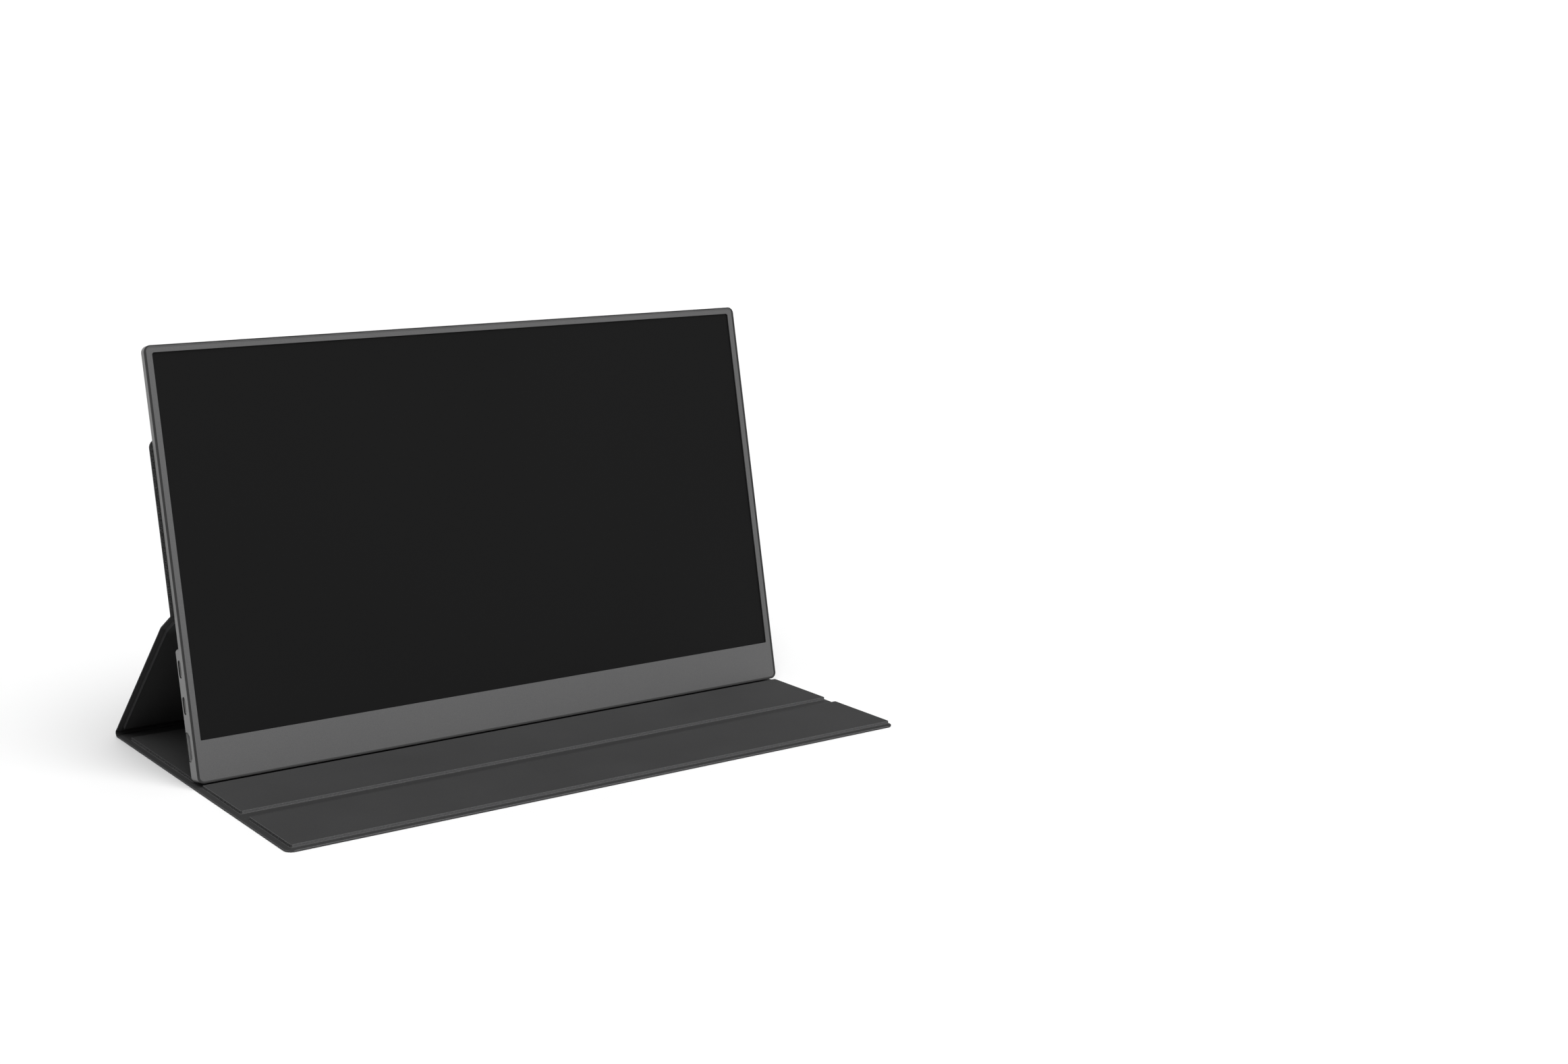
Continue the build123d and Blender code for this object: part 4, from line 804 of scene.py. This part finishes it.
@dataclass
class Cover:
    """The folding cover: six sheets, five folds, four pads and the lining of the holder."""

    half_width: float = 177.1 * MM
    sheet: float = Sheet.thick
    corner: float = 4.5 * MM
    end_hem: float = 1.7 * MM
    pad_margin: float = 2.5 * MM
    front_edge: float = -114.05 * MM
    fold_height: float = 0.8 * MM
    flap_axis: float = -58.85 * MM
    middle_axis: float = -4.45 * MM
    rear_axis: float = 113.25 * MM
    bend: Pair = (34.46 * MM, 75.34 * MM)
    holder_fold: Pair = (19.54 * MM, 84.1 * MM)
    holder_long: float = 88.8 * MM
    rear_reach: float = 6 * MM
    bend_reach: float = 3 * MM
    flat_reach: float = 4 * MM
    floor_pads: tuple = (("front", 1.8, 50.2), ("middle", 5.0, 53.5), ("base", 10.1, 99.7))
    sheets: dict[str, Sheet] = field(default_factory=dict)

    def __post_init__(self) -> None:
        """Run the six sheets from fold to fold, and the last one to its free end."""
        floor = [(y, self.fold_height) for y in (self.front_edge, self.flap_axis, self.middle_axis,
                                                 self.rear_axis)]
        tip = (self.holder_fold[0] + self.holder_long * sin(LEAN),
               self.holder_fold[1] + self.holder_long * cos(LEAN))
        stops = [*floor, self.bend, self.holder_fold, tip]
        names = ("front", "middle", "base", "brace", "bridge", "holder")
        self.sheets = {name: Sheet(fold, end) for name, fold, end in zip(names, stops, stops[1:])}

    def make_sheet(self, name: str, start: float, end: float, free: str) -> bpy.types.Object:
        """One stiff sheet between two folds, or with one free end that has rounded corners.

        At a free end the half width follows a quarter circle of the corner's radius. The thickness falls
        over the hem as it does across the sheet, and the last third of a millimetre is half an ellipse.

        Args:
            name: Its body.
            start: Where it starts, from its fold line.
            end: Where it ends.
            free: "start" or "end" where that end is free.

        Returns:
            The sheet.
        """
        line, long, places = self.sheets[name], end - start, 12
        run, width = np.linspace(0, long, places), self.half_width
        thick, lift, edge = np.full(places, self.sheet), np.zeros(places), 0.0
        if free:
            turn, rim, pressed = np.linspace(pi / 2, 0, 14), Ribbon.rim, Ribbon.pressed
            run = np.concatenate([self.corner * (1 - np.sin(turn)),
                                  np.linspace(self.corner, long, places)[1:]])
            width = np.concatenate([self.half_width - self.corner * (1 - np.cos(turn)),
                                    np.full(places - 1, self.half_width)])
            thin = pressed + (1 - pressed) * smooth(np.clip((run - rim) / (self.end_hem - rim), 0, 1))
            almost_shut = 0.98
            closing = np.sqrt(1 - np.clip(1 - run / rim, 0, almost_shut) ** 2)
            thick, lift = self.sheet * thin * closing, self.sheet * pressed * (1 - closing) / 2
            edge = np.clip(1.6 - run / rim, 0, 1)
        face = line.point(end - run if free == "end" else start + run, lift)
        # Only the front sheet's free edge gets the lightening: scuffs and a painted highlight on the edge
        # that faces the front.
        piece = Ribbon(face, np.tile(line.inward, (len(run), 1)), thick, width, edge_knurl=edge,
                       hem_knurl=float(name == "holder"), edge_wear_and_highlight=0.5 * (name == "front")
                       ).build(f"{name}_sheet")
        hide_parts(f"{name}_skin")
        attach(piece, name)
        return piece

    def make_crease(self, name: str, first: str, second: str, radius: float, thin: float, reach: float,
                    zone: float) -> bpy.types.Object:
        """A fold between two sheets: straight, round an arc, straight again, thinner near the arc.

        The convex face runs half a sheet outside the fold line, and the arc touches it on both sides. The
        thickness eases from thin at the arc to the full sheet at the reach. Where the convex side is the
        pads' side, the slab is turned over, so its pressed hem stays on that side.

        Args:
            name: The piece's name.
            first: Body of the sheet before the fold.
            second: Body of the sheet after it.
            radius: Radius of the convex face.
            thin: Thickness at the fold.
            reach: How far the piece reaches along each sheet.
            zone: Half the height of a band across the fold; its direction is worked out but not used.

        Returns:
            The fold.
        """
        fold, ways = np.array(self.sheets[second].fold), (-self.sheets[first].way, self.sheets[second].way)
        hollow = unit(*(ways[0] + ways[1]))
        half_angle = np.arccos(np.clip(ways[0] @ hollow, -1, 1))
        normals = [np.array([-way[1], way[0]]) for way in ways]
        outs = [-normal * np.sign(normal @ hollow) for normal in normals]
        touch = (radius - self.sheet / 2) / np.tan(half_angle)
        centre = fold + hollow * (radius - self.sheet / 2) / np.sin(half_angle)
        run = np.linspace(reach, touch, 10)
        near, far = (fold + run[:, None] * way + out * self.sheet / 2 for way, out in zip(ways, outs))
        start, stop = (np.arctan2(out[1], out[0]) for out in outs)
        sweep = (stop - start + pi) % (2 * pi) - pi
        angle = start + sweep * np.linspace(0, 1, 15)[1:-1]
        spoke = np.stack([np.cos(angle), np.sin(angle)], axis=-1)
        fade = (run - touch) / (reach - touch)
        share = np.concatenate([fade, 0 * angle, fade[::-1]])
        thick = thin + (self.sheet - thin) * smooth(share)
        face = np.concatenate([near, centre + radius * spoke, far[::-1]])
        into = -np.concatenate([outs[0] + 0 * near, spoke, outs[1] + 0 * far])
        if self.sheets[second].inward @ hollow < 0:
            face, into = face + thick[:, None] * into, -into
        piece = Ribbon(face, into, thick, self.half_width, wear_and_highlight=0.3 * (1 - share) ** 2).build(name)
        across = zone * np.array([-hollow[1], hollow[0]])
        across = across if across @ ways[1] > 0 else -across
        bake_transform(piece)
        return piece

    def make_flat_crease(self, name: str, second: str, reach: float, zone: float,
                         dip: float) -> bpy.types.Object:
        """A fold that lies flat at rest: its upper face dips by a cosine bell over the fold line.

        Args:
            name: The piece's name.
            second: Body behind it.
            reach: How far it reaches in front and behind.
            zone: Half the distance from the fold line to where the dip ends.
            dip: Depth of the crease.

        Returns:
            The fold.
        """
        axis, high = self.sheets[second].fold
        y = np.linspace(axis - reach, axis + reach, 41)
        bell = 0.5 + 0.5 * np.cos(pi * np.clip((y - axis) / (2 * zone), -1, 1))
        piece = Ribbon(np.column_stack([y, 0 * y]), np.tile([0.0, 1.0], (len(y), 1)),
                       self.sheet - dip * bell, self.half_width).build(name)
        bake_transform(piece)
        return piece

    def make_lining(self) -> bpy.types.Object:
        """The holder's flat microfibre lining: a thin plate with a soft edge, let into the sheet.

        Returns:
            The lining.
        """
        line, hem = self.sheets["holder"], 3.0 * MM
        insets = np.array([0.05, 0.05, 0.07, 0.17]) * MM
        heights = self.sheet + np.array([-0.3, -0.1, 0.04, 0.08]) * MM
        rings = plate_rings((self.half_width - hem, line.long / 2 - hem), 1.5 * MM, insets, heights)
        piece = make_piece("holder_lining_panel", [line.place(rings + [0, line.long / 2, 0])],
                           Slot.MICROFIBRE)
        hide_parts("holder_lining")
        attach(piece, "holder")
        return piece

    def build(self) -> list[bpy.types.Object]:
        """Make the whole cover.

        Returns:
            Its pieces.
        """
        rear, bend, flat = self.rear_reach, self.bend_reach, self.flat_reach
        gaps = {"front": (0.0, flat, "start"), "middle": (flat, flat, ""), "base": (flat, rear, ""),
                "brace": (rear, bend, ""), "bridge": (bend, bend, ""), "holder": (bend, 0.0, "end")}
        made = [self.make_sheet(name, before, self.sheets[name].long - after, free)
                for name, (before, after, free) in gaps.items()]
        made += [self.make_crease("rear_crease", "base", "brace", 2.0 * MM, 0.9 * MM, rear, 0.5 * MM),
                 self.make_crease("bend_crease", "brace", "bridge", 3.0 * MM, 1.5 * MM, bend, 0.6 * MM),
                 self.make_crease("holder_crease", "bridge", "holder", 2.0 * MM, self.sheet, bend,
                                  0.6 * MM),
                 self.make_flat_crease("middle_crease", "base", flat, 0.45 * MM, 0.3 * MM),
                 self.make_flat_crease("flap_crease", "middle", flat, 1.9 * MM, 0.25 * MM)]
        half = self.half_width - self.pad_margin
        for name, start, end in self.floor_pads:
            pad = Pad(name, self.sheets[name], start * MM, end * MM, half)
            wall, panel = pad.make_wall(), pad.make_panel()
            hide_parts(f"{name}_pad")
            for piece in (panel, wall):
                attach(piece, name)
            made += [panel, wall]
        brace, bridge = self.sheets["brace"], self.sheets["bridge"]
        # The brace's wall takes a fifth of the knurl and of the painted highlight: painted shade for the
        # wall under the monitor.
        pad = Pad("brace_and_bridge", BentSheet(brace, bridge), 8.5 * MM,
                  brace.long + bridge.long - 1.0 * MM, half, 1.5 * MM, 3 * MM, 0.2)
        wall, panel = pad.make_wall(), pad.make_panel()
        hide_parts("brace_pad", "bridge_pad")
        for piece in (panel, wall):
            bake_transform(piece)
        return made + [panel, wall, self.make_lining()]


@dataclass
class Monitor:
    """What the monitor gets here: its glass, the contacts in its sockets, screw heads and grille cloth."""

    foot: Pair = (-4.15 * MM, 3.55 * MM)
    glass_half: Pair = (172.1 * MM, 96.75 * MM)
    glass_sink: float = 0.8 * MM
    chin: float = 21.3 * MM
    housing_half: float = 176.1 * MM
    housing_high: float = 218.4 * MM
    housing_corner: float = 3.4 * MM
    rim_proud: float = 0.2 * MM
    # Dark tone of the ring in the seam: painted shade, for the rim's outer curve where it faces away from
    # the light.
    shade_gasket: Grained = Grained(grey(0.032), grey(0.042), 0.3 * MM, roughness=0.5, specular=0.2)
    bump_depth: float = 9.5 * MM
    usb_up: Pair = (57.5 * MM, 39.2 * MM)
    usb_half: Pair = (4.47 * MM, 1.63 * MM)
    usb_depth: float = 5.77 * MM
    hdmi_up: float = 18.4 * MM
    hdmi_half: Pair = (7.35 * MM, 2.675 * MM)
    hdmi_narrow: float = 5.4 * MM
    hdmi_cut: float = 2.1 * MM
    hdmi_depth: float = 6.675 * MM
    screw_up: float = 5.2 * MM
    screw_radius: float = 1.46 * MM
    screw_sides: tuple[float, ...] = (-150 * MM, -50 * MM, 50 * MM, 150 * MM)
    speaker_up: float = 21 * MM
    speaker_side: float = 80 * MM
    slot_half: Pair = (0.53 * MM, 3.97 * MM)
    slot_pitch: float = 4.5 * MM
    slots: int = 7

    def place(self, grid: np.ndarray) -> np.ndarray:
        """Points of the shared frame: foot + up along the lean + depth behind the screen, square to it.

        Args:
            grid: Array of (x, up, depth).

        Returns:
            The points.
        """
        x, up, depth = np.moveaxis(grid, -1, 0)
        y = self.foot[0] + up * sin(LEAN) + depth * cos(LEAN)
        z = self.foot[1] + up * cos(LEAN) - depth * sin(LEAN)
        return np.stack([x, y, z], axis=-1)

    def on_back(self, rings: np.ndarray, side: float, up: float) -> np.ndarray:
        """Rings set on the back wall at a place, their heights counted into the wall."""
        return self.place(rings * [1, 1, -1] + [side, up, self.bump_depth])

    def fit(self, name: str, slot: Slot, grids: list[np.ndarray],
            ringed: bool = False) -> bpy.types.Object:
        """Make a piece that rides on the display.

        Args:
            name: The piece's name.
            slot: Its finish.
            grids: Its points.
            ringed: True where each last ring meets the first.

        Returns:
            The piece.
        """
        piece = make_piece(name, grids, slot, ringed)
        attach(piece, "display")
        return piece

    def make_glass(self) -> bpy.types.Object:
        """The screen's front: a thin plate behind the bezel, a little larger than its opening.

        Returns:
            The glass.
        """
        lap = 1.2 * MM
        insets, depths = np.array([0.1, 0.0, 0.0, 0.1]) * MM, np.array([0.9, 0.8, 0.1, 0.0]) * MM
        rings = plate_rings((self.glass_half[0] + lap, self.glass_half[1] + lap), 0.6 * MM, insets,
                            self.glass_sink + depths, 20 * MM)
        middle = self.chin + self.glass_half[1]
        piece = self.fit("screen_glass", Slot.GLASS, [self.place(rings + [0, middle, 0])])
        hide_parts("lcd_panel")
        return piece

    def make_ring(self, name: str, profile: np.ndarray, aside: np.ndarray, slot: Slot) -> bpy.types.Object:
        """A ring round the screen: a closed profile carried round the housing's outline.

        Along the sides and the foot each point of the profile is moved by its share of (inset, depth). The
        move fades out round the upper corners: share = 1 - how far the inward direction points down.

        Args:
            name: The piece's name.
            profile: Insets from the outline, and depths behind the rim's front.
            aside: The move of each point of the profile.
            slot: Its finish.

        Returns:
            The ring.
        """
        half, (insets, depths) = (self.housing_half, self.housing_high / 2), profile.T
        rings = plate_rings(half, self.housing_corner, insets, depths - self.rim_proud,
                            30 * MM).transpose(1, 0, 2)
        far, near = insets.argmax(), insets.argmin()
        inwards = (rings[:, far, :2] - rings[:, near, :2]) / (insets[far] - insets[near])
        share = np.clip(1 + inwards[:, 1], 0, 1)[:, None]
        rings[..., :2] += (share * aside[:, 0])[..., None] * inwards[:, None]
        rings[..., 2] += share * aside[:, 1]
        return self.fit(name, slot, [self.place(rings + [0, half[1], 0])], True)

    def make_seam(self) -> list[bpy.types.Object]:
        """The dark satin ring round the housing's front rim, its tone painted shade of the seam along the
        sides and the foot, and the bezel's lip that closes the seam.

        Returns:
            The dark ring and the lip.
        """
        wrap = [(-0.03, 0.60), (-0.04, 0.57), (-0.04, 0.12), (-0.02, 0.03), (0.04, -0.03), (0.12, -0.05),
                (0.50, -0.05), (0.56, -0.05), (0.60, -0.02), (0.60, 0.10), (0.20, 0.30), (0.20, 0.60)]
        broad = [(0, 0)] * 6 + [(0.18, 0)] + [(0.56, 0.19)] * 3 + [(0.48, 0.20), (0.10, 0)]
        lip = [(0.62, 0.02), (0.65, -0.03), (0.70, -0.05), (0.80, -0.03), (1.18, 0.17), (1.26, 0.195),
               (1.26, 0.21), (0.98, 0.22), (0.98, 0.70), (0.67, 0.70), (0.67, 0.10)]
        low = [(0.04, 0.22)] * 4 + [(0, 0.02)] + [(0, 0)] * 6
        shade_gasket = self.make_ring("seam_shade_gasket", np.array(wrap) * MM, np.array(broad) * MM, Slot.MOULDED)
        shade_gasket.data.materials[0] = self.shade_gasket.build("seam_shade_rubber")
        return [shade_gasket, self.make_ring("seam_lip", np.array(lip) * MM, np.array(low) * MM, Slot.BEZEL)]

    def make_mouths(self) -> bpy.types.Object:
        """Black lining in the mouths on the left side, its black painted shade in the gap round each shell:
        a funnel from the wall's cut edge into each shell.

        Its profile is a closed loop of (inset from the socket's outline, depth into the side). The outline
        is a rectangle with half-circle ends for a USB socket, and six-sided for the HDMI one.

        Returns:
            The linings, in one piece.
        """
        insets = np.array([-0.10, 0.10, 0.31, 0.33, 0.31, -0.10]) * MM
        inwards = np.array([0.02, 0.10, 0.285, 0.44, 0.46, 0.29]) * MM
        (long, high), narrow, cut = self.hdmi_half, self.hdmi_narrow, self.hdmi_cut
        corners = np.array([[long, high], [-long, high], [-long, cut - high], [-narrow, -high],
                            [narrow, -high], [long, cut - high]])
        spread = np.array([[1, 1], [-1, 1], [-1, -0.4], [-0.6, -1], [0.6, -1], [1, -0.4]])
        grown = corners[:, None] - insets[:, None] * spread[:, None]
        hdmi = np.concatenate([inwards[:, None] + 0 * grown[..., :1], grown], axis=-1)
        usb = plate_rings(self.usb_half, self.usb_half[1], insets, inwards, 2 * MM).transpose(1, 0, 2)
        mouths = [hdmi + [-self.housing_half, self.hdmi_up, self.hdmi_depth]]
        mouths += [usb[..., [2, 0, 1]] + [-self.housing_half, up, self.usb_depth] for up in self.usb_up]
        return self.fit("mouth_shade_linings", Slot.MOULDED, [self.place(grid) for grid in mouths], True)

    def make_socket_cover(self) -> bpy.types.Object:
        """The strip of the back wall over the HDMI shell: a thin plate with eased edges, in the window.

        Returns:
            The strip.
        """
        start, end, clear = 1.5 * MM, 11.7 * MM, 0.05 * MM
        rings = plate_rings(((end - start) / 2, self.hdmi_half[0] + clear), 0.3 * MM,
                            np.array([0.04, 0.0, 0.0, 0.05]) * MM, np.array([0.135, 0.12, 0.04, 0.0]) * MM,
                            3 * MM)
        return self.fit("hdmi_back_cover", Slot.HOUSING,
                        [self.on_back(rings, (start + end) / 2 - self.housing_half, self.hdmi_up)])

    def make_contacts(self, name: str, up: float, depth: float, count: int, pitch: float, wide: float,
                      half_tongue: float) -> bpy.types.Object:
        """A socket's contacts: thin bars with rounded noses on both faces of its tongue, in one piece.

        Args:
            name: The piece's name.
            up: The socket's height up the monitor.
            depth: Its depth behind the screen's face.
            count: Contacts on each face.
            pitch: Distance between them.
            wide: Width of each.
            half_tongue: Half the tongue's thickness.

        Returns:
            The contacts.
        """
        start, clear = 1.9 * MM - self.housing_half, 0.002 * MM
        run = start + np.array([0.0, 0.1, 0.24, 0.4, 3.6])[:, None] * MM
        tall = 0.06 * MM * np.array([0.1, 0.6, 0.9, 1.0, 1.0])
        side = np.array([-1, 1, 1, -1]) * wide / 2
        over = half_tongue + np.outer(tall, [0, 0, 1, 1]) + clear
        middles = up + (np.arange(count) - (count - 1) / 2) * pitch
        bars = [np.stack(np.broadcast_arrays(run, middle + side, depth + face * over), axis=-1)
                for face in (-1, 1) for middle in middles]
        return self.fit(name, Slot.SOCKET, [self.place(bar) for bar in bars])

    def make_screws(self) -> bpy.types.Object:
        """Four screw heads, each with a cross recess: it is deep where |x| or |y| is under the arm's half.

        Returns:
            The heads, with a short shank each, in one piece.
        """
        radius, half_arm, arm_long, deep, count = self.screw_radius, 0.26 * MM, 0.72, 0.32 * MM, 72
        shares = np.array([0.5, 0.5, 1.0, 1.0, 0.96, 0.86, 0.74, 0.62, 0.5, 0.38, 0.28, 0.2, 0.12, 0.04])
        levels = np.array([1.6, 0.5, 0.48, 0.07, 0.03] + [0.02] * 9) * MM
        angle = np.linspace(0, 2 * pi, count, endpoint=False)
        x, y = np.outer(shares, radius * np.cos(angle)), np.outer(shares, radius * np.sin(angle))
        to_arm = np.minimum(np.abs(x), np.abs(y))
        cut = (np.clip((half_arm - to_arm) / (0.08 * MM) + 0.5, 0, 1)
               * np.clip((arm_long * radius - np.hypot(x, y)) / (0.12 * MM) + 0.5, 0, 1))
        on_top = levels[:, None] < 0.05 * MM
        rings = np.stack([x, y, levels[:, None] + np.where(on_top, deep * cut, 0.0)], axis=-1)
        piece = self.fit("back_screws", Slot.SCREW,
                         [self.on_back(rings, side, self.screw_up) for side in self.screw_sides])
        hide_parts("housing_screws")
        return piece

    def make_cloths(self) -> bpy.types.Object:
        """Black dust cloth in each sound slot of the back wall, half the wall's thickness deep.

        Returns:
            The cloths, in one piece.
        """
        rings = plate_rings(self.slot_half, self.slot_half[0], np.array([0.0, 0.0, 0.08]) * MM,
                            np.array([0.72, 0.52, 0.46]) * MM, 2 * MM)
        steps = (np.arange(self.slots) - (self.slots - 1) / 2) * self.slot_pitch
        return self.fit("sound_cloths", Slot.FOAM,
                        [self.on_back(rings, side + step, self.speaker_up)
                         for side in (-self.speaker_side, self.speaker_side) for step in steps])

    def build(self) -> list[bpy.types.Object]:
        """Make the monitor's own pieces.

        Returns:
            The pieces.
        """
        made = [self.make_glass(), *self.make_seam(), self.make_screws(), self.make_cloths(),
                self.make_mouths(), self.make_socket_cover()]
        for name, up in zip(("upper", "lower"), self.usb_up):
            made.append(self.make_contacts(f"usb_contacts_{name}", up, self.usb_depth, 12, 0.5 * MM,
                                           0.26 * MM, 0.35 * MM))
        made.append(self.make_contacts("hdmi_contacts", self.hdmi_up, self.hdmi_depth, 10, 1.0 * MM,
                                       0.4 * MM, 0.55 * MM))
        return made


@dataclass
class Studio:
    """Pale floor, soft lights and the camera."""

    camera_place: Triple = (-0.5534, -1.01565, 0.3422)
    forward: Triple = (0.5762, 0.7930, -0.1977)
    upward: Triple = (0.1128, 0.1625, 0.9802)
    lens: float = 50.39
    floor_half: float = 9.0
    floor_drop: float = 0.1 * MM
    above: float = 0.3
    horizon: float = 1.05
    fade: Pair = (0.30, 0.60)
    lights: tuple = (("key_light", (-0.05, -0.62, 1.25), 3.0, 50), ("sky_light", (0.0, -0.1, 1.0), 0.7, 140),
                     ("bounce_light", (-0.5, -0.7, -0.6), 0.22, 120))

    def make_camera(self) -> None:
        """The camera at the photograph's place: its axes are right, up and back."""
        data = bpy.data.cameras.new("camera")
        data.lens, data.sensor_width, data.clip_start, data.clip_end = self.lens, 36.0, 0.01, 50.0
        back = -Vector(self.forward).normalized()
        right = Vector(self.upward).cross(back).normalized()
        axes = Matrix((right, back.cross(right), back)).transposed().to_4x4()
        camera = add_object("camera", data)
        camera.matrix_world = Matrix.Translation(self.camera_place) @ axes
        bpy.context.scene.camera = camera

    def make_floor(self) -> None:
        """A pale floor just under the cover, slightly mottled."""
        material = bpy.data.materials.new("studio_floor")
        graph = Graph(material)
        faint = graph.noise(graph.coordinates("Object"), 0.4)
        graph.set(Base_Color=graph.ramp(faint, grey(0.94), grey(0.96)), Roughness=0.8,
                  Specular_IOR_Level=0.1)
        corners = self.floor_half * np.array([[-1, -1], [1, -1], [1, 1], [-1, 1]])
        mesh = bpy.data.meshes.new("studio_floor")
        mesh.from_pydata(np.column_stack([corners, np.full(4, -self.floor_drop)]).tolist(), [],
                         [(0, 1, 2, 3)])
        mesh.materials.append(material)
        floor = add_object("studio_floor", mesh)
        floor.visible_diffuse = floor.visible_shadow = False

    def make_light(self, name: str, source: Triple, strength: float, spread: float) -> None:
        """A far soft light.

        Args:
            name: Its name.
            source: The direction that it comes from.
            strength: Its strength.
            spread: How wide it is, in degrees.
        """
        data = bpy.data.lights.new(name, "SUN")
        data.energy, data.angle = strength, radians(spread)
        light = add_object(name, data)
        light.rotation_mode = "QUATERNION"
        light.rotation_quaternion = (-Vector(source)).to_track_quat("-Z", "Y")

    def make_world(self) -> None:
        """A backdrop that is white near the horizon and dimmer above, seen and mirrored but no light."""
        world = bpy.data.worlds.new("studio")
        graph = Graph(world, "Background")
        split = graph.add("ShaderNodeSeparateXYZ", {"Vector": graph.coordinates("Generated")})
        strength = graph.add("ShaderNodeMapRange",
                             {"Value": split.outputs["Z"], "From Min": self.fade[0],
                              "From Max": self.fade[1], "To Min": self.horizon, "To Max": self.above},
                             interpolation_type="SMOOTHSTEP").outputs["Result"]
        graph.set(Color=grey(1.0), Strength=strength)
        world.cycles_visibility.diffuse = False
        bpy.context.scene.world = world

    def build(self) -> None:
        """Set the stage."""
        settings = bpy.context.scene.view_settings
        settings.view_transform, settings.look = "Standard", "None"
        self.make_world()
        self.make_floor()
        for light in self.lights:
            self.make_light(*light)
        self.make_camera()


def dress_nodes(frame: dict) -> None:
    """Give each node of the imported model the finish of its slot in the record.
    """
    slots = {row["node"]: Slot(row["material_slot"]) for row in frame["record"]["subparts"]}
    for name, node in frame["nodes"].items():
        dress(node, slots[name])
    LOG.info("dressed %d nodes", len(slots))


def main() -> None:
    """Load the frame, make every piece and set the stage."""
    logging.basicConfig(level=logging.INFO, format="%(name)s: %(message)s")
    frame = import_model()
    dress_nodes(frame)
    for group in (Cover(), Monitor()):
        for piece in group.build():
            LOG.info("%s: %d faces", piece.name, len(piece.data.polygons))
    Studio().build()


if __name__ == "__main__":
    main()
